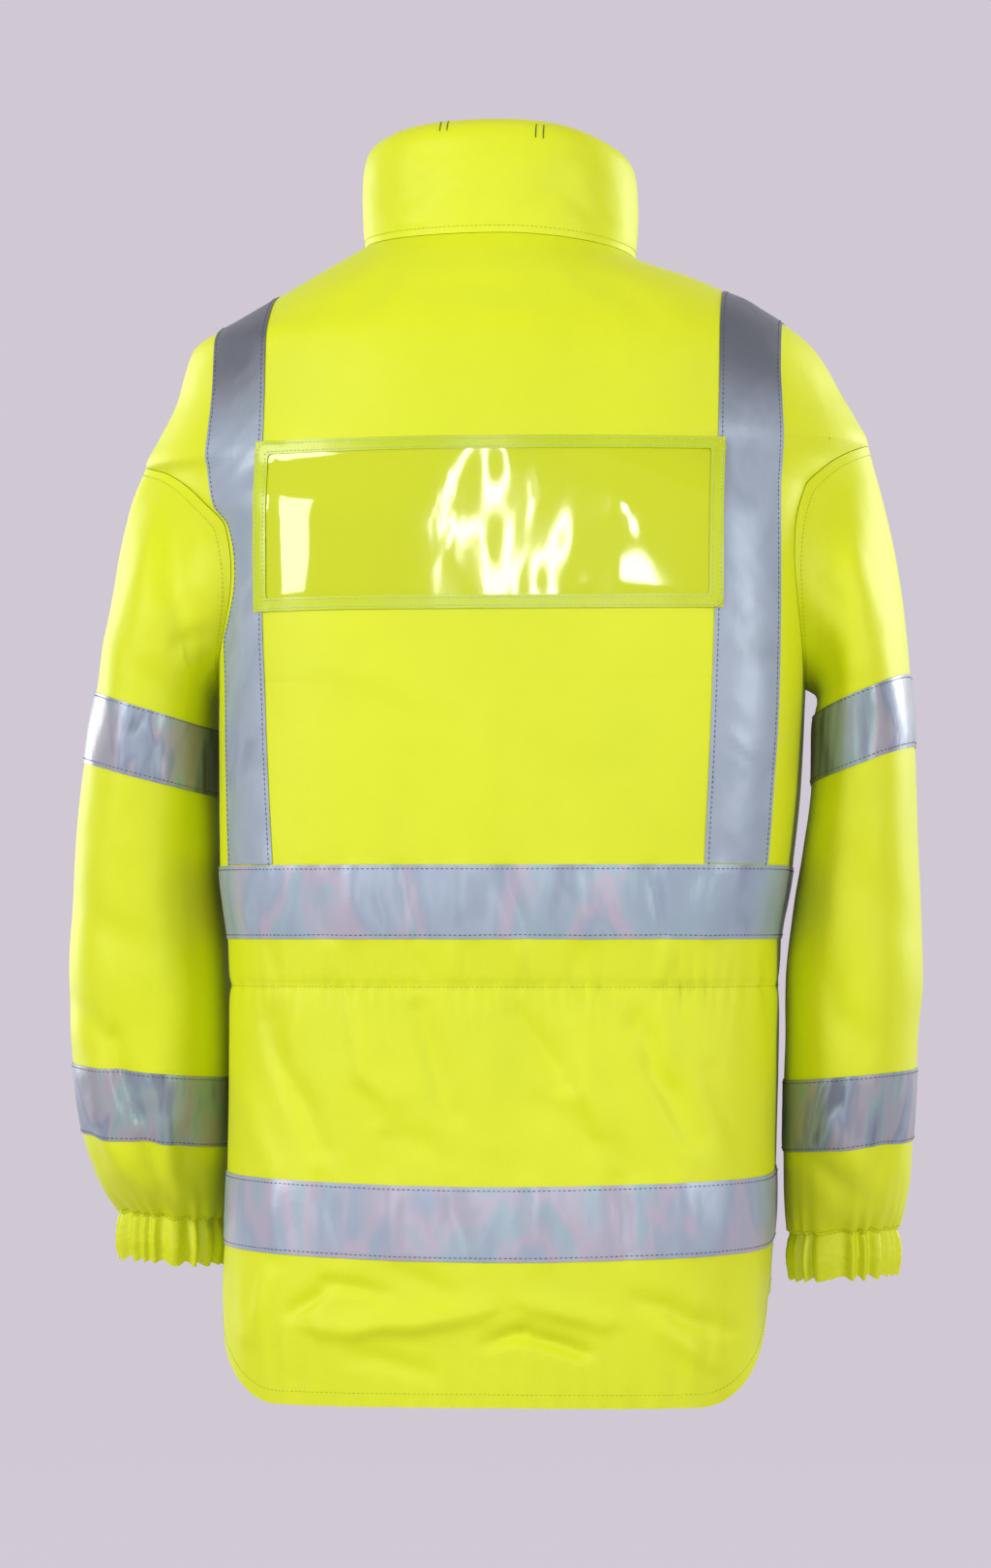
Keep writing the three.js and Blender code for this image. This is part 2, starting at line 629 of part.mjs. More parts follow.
// Makes a geometry with its faces pointing out.
function solid(positions, triangles) {
  const point = (i) => new THREE.Vector3().fromArray(positions, i * 3);
  const volume = triangles.reduce((sum, [a, b, c]) => sum + point(a).dot(point(b).cross(point(c))), 0);
  const index = volume < 0 ? triangles.map(([a, b, c]) => [a, c, b]).flat() : triangles.flat();
  const geometry = new THREE.BufferGeometry();
  geometry.setAttribute('position', new THREE.Float32BufferAttribute(positions, 3));
  geometry.setIndex(index);
  geometry.computeVertexNormals();
  return geometry;
}

const jacket = new THREE.Group();

function add(name, geometry, finish) {
  const mesh = new THREE.Mesh(geometry, new THREE.MeshStandardMaterial(FINISHES[finish]));
  mesh.name = name;
  jacket.add(mesh);
}

// How far a point stands above the named pieces, looking back along the outward direction.
const raycaster = new THREE.Raycaster();

function heightAbove(meshes, point, out) {
  raycaster.set(point.clone().addScaledVector(out, DRAPE_REACH), out.clone().negate());
  const hit = raycaster.intersectObjects(meshes, false)[0];
  return hit ? hit.distance - DRAPE_REACH : null;
}

// Lays a grid of knots on the pieces below it, lifted just enough that none of its faces cuts into them.
function drape(rows, names, lift, closed = false) {
  const below = names.map((name) => jacket.getObjectByName(name));
  const lifts = rows.map((row) => row.map(() => lift));
  const place = (r, c) => rows[r][c].at.clone().addScaledVector(rows[r][c].out, lifts[r][c]);
  const count = rows[0].length;
  const cells = closed ? count : count - 1;
  for (let pass = 0; pass < DRAPE_PASSES; pass += 1) {
    for (let r = 0; r < rows.length - 1; r += 1) {
      for (let c = 0; c < cells; c += 1) {
        const corners = [[r, c], [r, (c + 1) % count], [r + 1, c], [r + 1, (c + 1) % count]];
        const at = corners.map(([i, j]) => place(i, j));
        const out = corners.map(([i, j]) => rows[i][j].out);
        const mix = (four, u, v) => {
          const high = four[2].clone().lerp(four[3], u);
          return four[0].clone().lerp(four[1], u).lerp(high, v);
        };
        let missing = 0;
        for (let i = 0; i <= DRAPE_SAMPLES; i += 1) {
          for (let j = 0; j <= DRAPE_SAMPLES; j += 1) {
            const u = i / DRAPE_SAMPLES;
            const v = j / DRAPE_SAMPLES;
            const height = heightAbove(below, mix(at, u, v), mix(out, u, v).normalize());
            if (height !== null) missing = Math.max(missing, lift - height);
          }
        }
        corners.forEach(([i, j]) => {
          lifts[i][j] += missing;
        });
      }
    }
  }
  return rows.map((row, r) => row.map((knot, c) => ({ ...knot, at: place(r, c) })));
}

// Body panels with the tapes that are sewn on them
const PANELS = {
  back: { face: 1, sides: ['right', 'left'], columns: BACK_COLUMNS_PER_SIDE, node: 'back_panel' },
  front_left: { face: -1, sides: ['left'], columns: FRONT_COLUMNS, node: 'front_left' },
  front_right: { face: -1, sides: ['right'], columns: FRONT_COLUMNS, node: 'front_right' },
};

function tapeRows(rows, first) {
  return rows.slice(first, first + 2);
}

for (const [name, panel] of Object.entries(PANELS)) {
  const rows = openPanel(panelRows(panel.face, panel.sides, panel.columns), panel.face, panel.sides);
  panel.rows = rows;
  add(panel.node, wall(rows, -CLOTH, 0), 'cloth');
  add(`waist_tape_${name}`, wall(tapeRows(rows, WAIST_TAPE_ROW), LIFT, LIFT + TAPE), 'tape');
  add(`lower_tape_${name}`, wall(tapeRows(rows, LOWER_TAPE_ROW), LIFT, LIFT + TAPE), 'tape');
}

// Sleeves, their tapes and their gathered cuffs
function ringSeam(ring, towards, halfGap = HALF_SEAM) {
  const count = ring.length;
  return ring.map((knot, i) => {
    const run = ring[(i + 1) % count].at.clone().sub(ring[(i + count - 1) % count].at);
    const way = run.cross(knot.out).normalize();
    if (way.dot(towards[i]) < 0) way.negate();
    return { ...knot, at: knot.at.clone().addScaledVector(way, halfGap) };
  });
}

function ringWays(from, to) {
  return from.map((knot, i) => to[i].at.clone().sub(knot.at));
}

function cuffRings(side, seam) {
  const { cuff } = side;
  const fine = 3 * cuff.gathers;
  const middle = seam.reduce((sum, knot) => sum.add(knot.at), new THREE.Vector3()).divideScalar(seam.length);
  const levels = [
    { drop: 0, wave: 0, shrink: 1 },
    { drop: 0.3, wave: 1, shrink: 0.95 },
    { drop: 0.7, wave: 1, shrink: 0.97 },
    { drop: 1, wave: 1.3, shrink: 0.93 },
  ];
  return levels.map((level) => {
    const ring = [];
    for (let i = 0; i < fine; i += 1) {
      const share = i / fine;
      const place = share * seam.length;
      const first = Math.floor(place);
      const a = seam[first];
      const b = seam[(first + 1) % seam.length];
      const at = a.at.clone().lerp(b.at, place - first);
      const out = a.out.clone().lerp(b.out, place - first).normalize();
      const away = at.clone().sub(middle).setZ(0).normalize();
      const turn = level.drop > 0 ? away : out;
      const reach = at.clone().sub(middle).setZ(0).multiplyScalar(level.shrink - 1);
      at.add(reach);
      at.z -= level.drop * cuff.drop;
      at.addScaledVector(turn, level.wave * cuff.depth * Math.cos(2 * Math.PI * cuff.gathers * share) * 0.5);
      ring.push({ at, out: turn, share });
    }
    return ring;
  });
}

for (const [name, side] of Object.entries(SIDES)) {
  const rings = SLEEVES[name];
  for (let r = 1; r < rings.length - 1; r += 1) {
    rings[r].forEach((knot) => {
      knot.at.addScaledVector(knot.out, relief(`sleeve_${name}`, knot.at, knot.out));
    });
  }
  rings[0].forEach((knot, i) => {
    knot.out = ARMHOLE_OUTS[name][i];
  });
  const last = rings.length - 1;
  const cuffSeam = rings[last].map((knot) => ({ ...knot }));
  rings[0] = ringSeam(rings[0], ringWays(rings[0], rings[1]), HALF_ARMHOLE_SEAM);
  rings[last] = ringSeam(rings[last], ringWays(rings[last], rings[last - 1]));
  add(`sleeve_${name}`, wall(rings, -CLOTH, 0, true), 'cloth');
  for (const [place, row] of Object.entries(SLEEVE_TAPES)) {
    const band = rings.slice(row + 1, row + 3);
    add(`sleeve_${name}_tape_${place}`, wall(band, LIFT, LIFT + TAPE, true), 'tape');
  }
  const cuff = cuffRings(side, cuffSeam);
  cuff[0] = ringSeam(cuff[0], ringWays(cuff[0], cuff[1]));
  add(`cuff_${name}`, wall(cuff, -CLOTH, 0, true), 'cloth');
}

// Collar on the neck seam, from one front edge round the back to the other
function neckLine() {
  const top = (panel) => panelRows(panel.face, panel.sides, panel.columns)[NECK_ROW];
  const right = top(PANELS.front_right);
  const back = top(PANELS.back);
  const left = top(PANELS.front_left).reverse();
  return [...right.slice(0, -1), ...back, ...left.slice(1)];
}

function collarRows() {
  const neck = neckLine();
  const count = neck.length - 1;
  return COLLAR_PROFILE.map((level) => neck.map((knot, i) => {
    const flat = knot.out.clone().setZ(0).normalize();
    const backness = flat.y;
    const height = backness > 0
      ? COLLAR_HEIGHT.side + (COLLAR_HEIGHT.back - COLLAR_HEIGHT.side) * backness * backness
      : COLLAR_HEIGHT.side + (COLLAR_HEIGHT.front - COLLAR_HEIGHT.side) * backness * backness;
    const at = knot.at.clone().addScaledVector(flat, level.out);
    at.z += height * level.share;
    const lean = level.out < 0 ? smoothStep(-level.out / 13) : 0;
    const out = level.share === 0 ? neckOut(knot) : flat.clone().setZ(lean * 1.2).normalize();
    return { at, out, share: i / count };
  }));
}

const collar = collarRows();
const plainCollar = collar.map((row) => row.map((knot) => ({ ...knot })));
collar[0] = seamKnots(collar[0], collar[0].map(() => new THREE.Vector3(0, 0, 1)))
  .map((knot, i) => ({ ...collar[0][i], at: knot.at }));
add('collar', wall(collar, -COLLAR_CLOTH, 0), 'cloth');

// Braces: strips that climb the back, turn over the shoulder and run down the front
function surfaceDepth(side, face, x, z) {
  const half = side.halfWidth(z);
  const power = side.corner(z);
  const depth = face > 0 ? backDepth(z) : frontDepth(z);
  return depth * Math.max(0, 1 - Math.min(x / half, 1) ** power) ** (1 / power);
}

function shoulderHeight(side, x) {
  let low = -50;
  let high = 37;
  for (let i = 0; i < 40; i += 1) {
    const middle = (low + high) / 2;
    if (side.halfWidth(middle) > x) low = middle;
    else high = middle;
  }
  return (low + high) / 2;
}

const braceEdge = curve(BRACE_EDGE, 'z', 'x');

function braceRows(side) {
  const straight = (face, heights) => heights.map((z) => {
    const section = quarter(side, face, z);
    const start = along(section, 'x', braceEdge(z)).length;
    const seam = along(section, 'y', armholeDepth(side, z), true).length;
    const width = Math.min(TAPE_WIDTH, seam - BRACE_CLEAR - start);
    const row = [];
    for (let q = 0; q <= BRACE_COLUMNS; q += 1) {
      row.push(bodyPointAt(side, face, start + (width * q) / BRACE_COLUMNS, z));
    }
    return row;
  });
  const turn = (face) => {
    const rows = [];
    const base = straight(face, [BRACE_TURN])[0];
    for (let i = 0; i <= BRACE_TURN_STEPS; i += 1) {
      const angle = (Math.PI / 2) * (i / BRACE_TURN_STEPS);
      rows.push(base.map((point) => {
        const x = Math.abs(point.x);
        const top = shoulderHeight(side, x);
        const z = BRACE_TURN + (top - BRACE_TURN) * Math.sin(angle);
        const y = i === BRACE_TURN_STEPS ? 0 : surfaceDepth(side, face, x, z);
        return new THREE.Vector3(side.sign * x, face * y, z);
      }));
    }
    return rows;
  };
  const back = [...straight(1, BRACE_HEIGHTS), ...turn(1)];
  const front = [...straight(-1, BRACE_HEIGHTS), ...turn(-1)];
  const seam = back[back.length - 1];
  front[front.length - 1].forEach((point, q) => seam[q].lerp(point, 0.5));
  const points = [...back, ...front.slice(0, -1).reverse()];
  return points.map((row, r) => row.map((at, q) => {
    const across = row[Math.min(q + 1, BRACE_COLUMNS)].clone().sub(row[Math.max(q - 1, 0)]);
    const up = points[Math.min(r + 1, points.length - 1)][q].clone().sub(points[Math.max(r - 1, 0)][q]);
    const out = outward(across, up, new THREE.Vector3(side.sign * 0.3, at.y / 100, 0.5));
    const moved = at.clone().addScaledVector(out, at.y > 0 ? relief('back', at, out) : 0);
    return { at: moved, out, share: q / BRACE_COLUMNS };
  }));
}

for (const [name, side] of Object.entries(SIDES)) {
  const rows = drape(braceRows(side), ['back_panel', `front_${name}`], BRACE_LIFT);
  add(`brace_${name}`, wall(rows, 0, TAPE), 'tape');
}

// Clear window and its border, both on the back panel's form
function windowKnot(x, z) {
  const side = x < 0 ? SIDES.right : SIDES.left;
  const reach = 3;
  const point = (px, pz) => {
    const own = px < 0 ? SIDES.right : SIDES.left;
    return new THREE.Vector3(px, surfaceDepth(own, 1, Math.abs(px), pz), pz);
  };
  const across = point(x + reach, z).sub(point(x - reach, z));
  const up = point(x, z + reach).sub(point(x, z - reach));
  const at = new THREE.Vector3(x, surfaceDepth(side, 1, Math.abs(x), z), z);
  return { at, out: outward(across, up, new THREE.Vector3(0, 1, 0)) };
}

function windowRows() {
  const rows = [];
  for (let r = 0; r <= WINDOW.rows; r += 1) {
    const row = [];
    const z = WINDOW.bottom + ((WINDOW.top - WINDOW.bottom) * r) / WINDOW.rows;
    for (let c = 0; c <= WINDOW.columns; c += 1) {
      const share = c / WINDOW.columns;
      row.push({ ...windowKnot(WINDOW.halfWidth * (2 * share - 1), z), share });
    }
    rows.push(row);
  }
  return rows;
}

function borderLoop(inset) {
  const half = WINDOW.halfWidth - inset;
  const top = WINDOW.top - inset;
  const bottom = WINDOW.bottom + inset;
  const places = [];
  for (let c = 0; c < WINDOW.columns; c += 1) places.push([half * ((2 * c) / WINDOW.columns - 1), bottom]);
  for (let r = 0; r < WINDOW.rows; r += 1) places.push([half, bottom + ((top - bottom) * r) / WINDOW.rows]);
  for (let c = 0; c < WINDOW.columns; c += 1) places.push([half * (1 - (2 * c) / WINDOW.columns), top]);
  for (let r = 0; r < WINDOW.rows; r += 1) places.push([-half, top - ((top - bottom) * r) / WINDOW.rows]);
  return places.map(([x, z], i) => ({ ...windowKnot(x, z), share: i / places.length }));
}

const sheet = drape(windowRows(), ['back_panel', 'brace_left', 'brace_right'], WINDOW_LIFT);
add('window_sheet', wall(sheet, 0, WINDOW_SHEET), 'window');
const border = drape([borderLoop(0), borderLoop(WINDOW.border)], ['window_sheet'], WINDOW_LIFT, true);
add('window_border', wall(border, 0, BORDER_CLOTH, true), 'window');

// Centre-front zip: tapes behind the front edges, a chain between them, a slider and its pull tab
const CENTRE = bodyCentre();

function bodyCentre() {
  const lower = ROWS.map((row) => {
    const z = row.front;
    return { z, y: -frontDepth(z) + row.drawn, cloth: CLOTH, bend: BODY_BEND };
  });
  const upper = plainCollar.slice(1, -1).map((row) => (
    { z: row[0].at.z, y: row[0].at.y, cloth: COLLAR_CLOTH, bend: COLLAR_BEND }));
  Object.assign(lower[lower.length - 1], { cloth: COLLAR_CLOTH, bend: COLLAR_BEND });
  return [...lower, ...upper];
}

function zipRows(fromX, toX) {
  return CENTRE.map((place, i) => {
    const before = CENTRE[Math.max(i - 1, 0)];
    const after = CENTRE[Math.min(i + 1, CENTRE.length - 1)];
    const out = new THREE.Vector3(0, -(after.z - before.z), after.y - before.y).normalize();
    return [fromX, toX].map((x, share) => {
      const bend = place.bend * (x / ZIP_TAPE_OUT) ** 2;
      const at = new THREE.Vector3(x, place.y, place.z).addScaledVector(out, -place.cloth - LIFT - bend);
      return { at, out, share };
    });
  });
}

for (const [name, side] of Object.entries(SIDES)) {
  const rows = zipRows(side.sign * ZIP_TAPE_IN, side.sign * ZIP_TAPE_OUT);
  add(`zip_tape_${name}`, wall(rows, -ZIP_TAPE_CLOTH, 0), 'zip');
}
add('zip_chain', wall(zipRows(-ZIP_CHAIN_HALF, ZIP_CHAIN_HALF), -ZIP_TAPE_CLOTH, CHAIN_RISE), 'zip');

// The slider rides on the chain inside the collar's front; its tab hangs from it and swings up.
function block(width, depth, height, x, y, z) {
  const geometry = new THREE.BoxGeometry(width, depth, height);
  geometry.translate(x, y, z);
  return geometry;
}

const sliderPlace = CENTRE[CENTRE.length - 3];
const chainFront = sliderPlace.y + COLLAR_CLOTH + LIFT - CHAIN_RISE;
const sliderMiddle = chainFront - LIFT - SLIDER.depth / 2;
const pullMiddle = sliderMiddle - SLIDER.depth / 2 - LIFT - PULL.depth / 2;
add('zip_slider', block(SLIDER.width, SLIDER.depth, SLIDER.height, 0, sliderMiddle, sliderPlace.z), 'metal');
const pullHeight = sliderPlace.z - PULL.length / 2;
add('zip_pull', block(PULL.width, PULL.depth, PULL.length, 0, pullMiddle, pullHeight), 'metal');

export default jacket;
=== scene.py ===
import logging
import math
from dataclasses import dataclass, field
from enum import Enum
from typing import Callable, Sequence

import bmesh
import bpy
import numpy as np
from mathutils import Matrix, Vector
from mathutils.bvhtree import BVHTree


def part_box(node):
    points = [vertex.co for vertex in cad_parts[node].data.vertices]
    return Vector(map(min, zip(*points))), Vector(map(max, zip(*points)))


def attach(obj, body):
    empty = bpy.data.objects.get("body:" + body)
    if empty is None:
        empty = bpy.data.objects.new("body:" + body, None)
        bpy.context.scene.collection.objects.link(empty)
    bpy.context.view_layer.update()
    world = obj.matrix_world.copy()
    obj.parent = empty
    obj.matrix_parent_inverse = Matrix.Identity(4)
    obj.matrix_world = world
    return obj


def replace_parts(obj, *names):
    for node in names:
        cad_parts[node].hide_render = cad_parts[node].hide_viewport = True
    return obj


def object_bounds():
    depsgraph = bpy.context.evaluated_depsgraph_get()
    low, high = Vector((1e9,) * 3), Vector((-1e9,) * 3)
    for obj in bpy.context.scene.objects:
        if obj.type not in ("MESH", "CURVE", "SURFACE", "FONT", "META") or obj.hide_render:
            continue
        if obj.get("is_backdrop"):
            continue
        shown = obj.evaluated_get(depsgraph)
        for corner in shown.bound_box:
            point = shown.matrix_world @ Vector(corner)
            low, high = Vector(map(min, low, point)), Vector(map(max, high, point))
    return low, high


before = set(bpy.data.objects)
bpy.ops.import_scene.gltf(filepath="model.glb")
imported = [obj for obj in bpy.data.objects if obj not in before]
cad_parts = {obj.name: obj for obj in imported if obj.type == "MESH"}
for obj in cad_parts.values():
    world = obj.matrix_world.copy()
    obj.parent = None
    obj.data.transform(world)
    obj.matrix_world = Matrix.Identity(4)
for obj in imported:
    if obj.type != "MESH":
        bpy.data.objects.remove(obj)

# A hi-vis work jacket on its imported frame: the cloth in fine form, its folds, stitching, zip and finish.
# Sizes are in millimetres until a mesh is made. +X is the wearer's left, +Y the back, +Z up.

LOG = logging.getLogger("jacket")
MM = 0.001

# Cloth
CLOTH = 1.4
COLLAR_CLOTH = 3.0
TAPE = 0.45
TAPE_LIFT = 0.35
TAPE_WIDTH = 50.0
SEAM_SHARE = 0.9988
SEAM_FADE = 9.0

# Grids: target size of a cell
BACK_CELL = 3.1
FRONT_CELL = 4.2
SLEEVE_CELL = 3.9
SECTION_SAMPLES = 96

# Body
FRONT_EDGE = 7.0
BACK_NECK = 37.0
FRONT_NECK = -12.0
UNDERARM = -275.0
ARMHOLE_HALF_DEPTH = 100.0
ARMHOLE_STEPS = 10
YOKE_ROWS = 6
HEM_ROWS = 3
HEM_RISE_START = 0.52
CORD = -482.0
CORD_PITCH = 8.6
CORD_DEPTH = 2.6

DEPTHS = {
    "z": (-800, -664, -560, -482, -425, -300, -200, -117, -69, -35, 0, 37),
    "back": (134, 139, 138, 136, 141, 148, 150, 147, 141, 133, 114, 78),
    "front": (129, 133, 132, 130, 134, 138, 136, 130, 123, 115, 104, 76),
}

# Height of each body row at the side seam, the centre back and the centre front
BODY_ROWS = {
    "side": (-697, -687, -674, -659.5, -609.5, -583, -548, -518,
             -497, -482, -467, -449.5, -399.5, -358, -316),
    "back": (-765, -755, -716, -667, -616.5, -587, -550, -518,
             -497, -482, -467, -449.5, -399.5, -358, -316),
    "front": (-702, -692, -678, -662, -612, -584, -548, -518,
              -497, -482, -467, -449.5, -399.5, -358, -316),
}
LOWER_TAPE_ROW = 3
CORD_ROW = 9.0
WAIST_TAPE_ROW = 11

# Stitching: rows and shares of a piece where a line runs, and how far it stands off
HEM_STITCH_ROW = 0.92
ARMHOLE_STITCH_ROW = 0.22
SEAM_STITCH_SHARE = 0.06
TAPE_STITCH_SHARES = (0.055, 0.945)
BORDER_STITCH_SHARES = (0.22, 0.82)
STITCH_LIFT = 0.1


@dataclass(frozen=True)
class SideSizes:
    """Outline, sleeve and cuff sizes of one side of the jacket."""

    sign: int
    armhole_top: float
    yoke: tuple[float, ...]
    outline: dict[str, tuple[float, ...]]
    sleeve: dict[str, tuple[float, ...]]
    cuff_drop: float = 34.0
    cuff_gathers: int = 20


LEFT = SideSizes(
    sign=1,
    armhole_top=-117,
    yoke=(-100, -72, -36, -18, 8, 36),
    outline={
        "z": (-800, -690, -640, -560, -450, -400, -275, -166, -148, -135, -124, -117, -100, -72, -52, -35,
              -18, 8, 37),
        "half": (190, 193, 191, 190, 190, 196, 197, 199, 217, 231, 243, 254, 246, 232, 226, 219, 190, 146,
                 96),
        "corner": (3.4, 3.4, 3.3, 3.2, 3.2, 3.2, 3.2, 3.2, 2.7, 2.3, 2.05, 1.95, 1.95, 2, 2.05, 2.1, 2.15,
                   2.2, 2.2),
    },
    sleeve={
        "outer_x": (263, 270, 276, 282.5, 287, 296, 303, 306, 309, 309, 307, 301, 294, 286, 278),
        "outer_z": (-141, -171, -210, -244, -276, -325, -385, -430, -475, -509, -537, -586, -611, -629, -640),
        "inner_x": (202, 203, 203, 203, 203, 203, 202, 198, 196, 195, 195, 196, 198, 200, 203),
        "inner_z": (-282, -287, -292, -297, -303, -350, -396, -438, -480, -514, -547, -596, -618, -634, -646),
        "half": (98, 97, 96, 95, 94, 92, 90, 88, 86, 84, 82, 76, 68, 56, 44),
        "middle": (0, -1, -3, -4, -6, -8, -11, -14, -17, -20, -22, -25, -27, -28, -29),
        "armhole": (0.55, 0.25, 0.08, 0, 0, 0, 0, 0, 0, 0, 0, 0, 0, 0, 0),
    },
)
RIGHT = SideSizes(
    sign=-1,
    armhole_top=-106,
    yoke=(-90, -66, -36, -18, 4, 28),
    outline={
        "z": (-800, -690, -640, -560, -450, -400, -345, -275, -166, -139, -127, -117, -106, -86, -69, -52,
              -35, -18, 8, 29, 37),
        "half": (184, 186, 189, 191, 193, 201, 207, 211, 214, 224, 238, 249, 256, 247, 237, 228, 216, 194,
                 144, 92, 90),
        "corner": (3.6, 3.8, 4, 4.2, 4.6, 5, 5.4, 5.6, 4.6, 3.2, 2.5, 2.1, 1.95, 1.95, 2, 2.05, 2.1, 2.15,
                   2.2, 2.2, 2.2),
    },
    sleeve={
        "outer_x": (264, 271, 277, 281.5, 284, 288, 290, 291.5, 293, 290, 288, 285.5, 284, 280, 276),
        "outer_z": (-135, -166, -201, -235, -266, -316, -375, -425, -475, -511, -540, -590, -616, -637, -650),
        "inner_x": (219, 220, 220, 219, 218, 216, 210, 203, 197.5, 197, 196, 195, 195, 196, 198),
        "inner_z": (-280, -283, -286, -290, -295, -343, -388, -432, -478, -515, -548, -598, -620, -640, -654),
        "half": (98, 97, 96, 95, 94, 92, 90, 88, 86, 84, 82, 76, 68, 56, 44),
        "middle": (0, -1, -3, -4, -6, -8, -11, -14, -17, -20, -22, -25, -27, -28, -29),
        "armhole": (0.55, 0.25, 0.08, 0, 0, 0, 0, 0, 0, 0, 0, 0, 0, 0, 0),
    },
)
SLEEVE_TAPE_ROWS = {"upper": 5, "lower": 11}

COLLAR_HEIGHT = {"back": 81.0, "side": 76.0, "front": 84.0}
COLLAR_PROFILE = {
    "share": (0, 0.3, 0.6, 0.82, 0.94, 1),
    "out": (0, 0.6, 0.3, -2, -7, -14),
}

BRACE_EDGE = {"z": (-400, -300, -200, -60), "x": (147, 152, 155, 156)}
BRACE_TURN = -60.0
BRACE_CLEAR = 6.0
BRACE_FOOT = -398.6

WINDOW_HALF = 160.0
WINDOW_TOP = -110.0
WINDOW_BOTTOM = -227.0
WINDOW_BORDER = 9.0
WINDOW_SHEET = 0.4
BORDER_CLOTH = 0.5


@dataclass(frozen=True)
class Stroke:
    """One crease, laid as a line on a piece: a negative depth is a trough, a positive one a ridge.

    A steepness below 1 narrows the flank on the left of its direction, as where cloth laps over.
    """

    on: str
    x0: float
    z0: float
    x1: float
    z1: float
    spread: float
    depth: float
    steep: float = 1.0


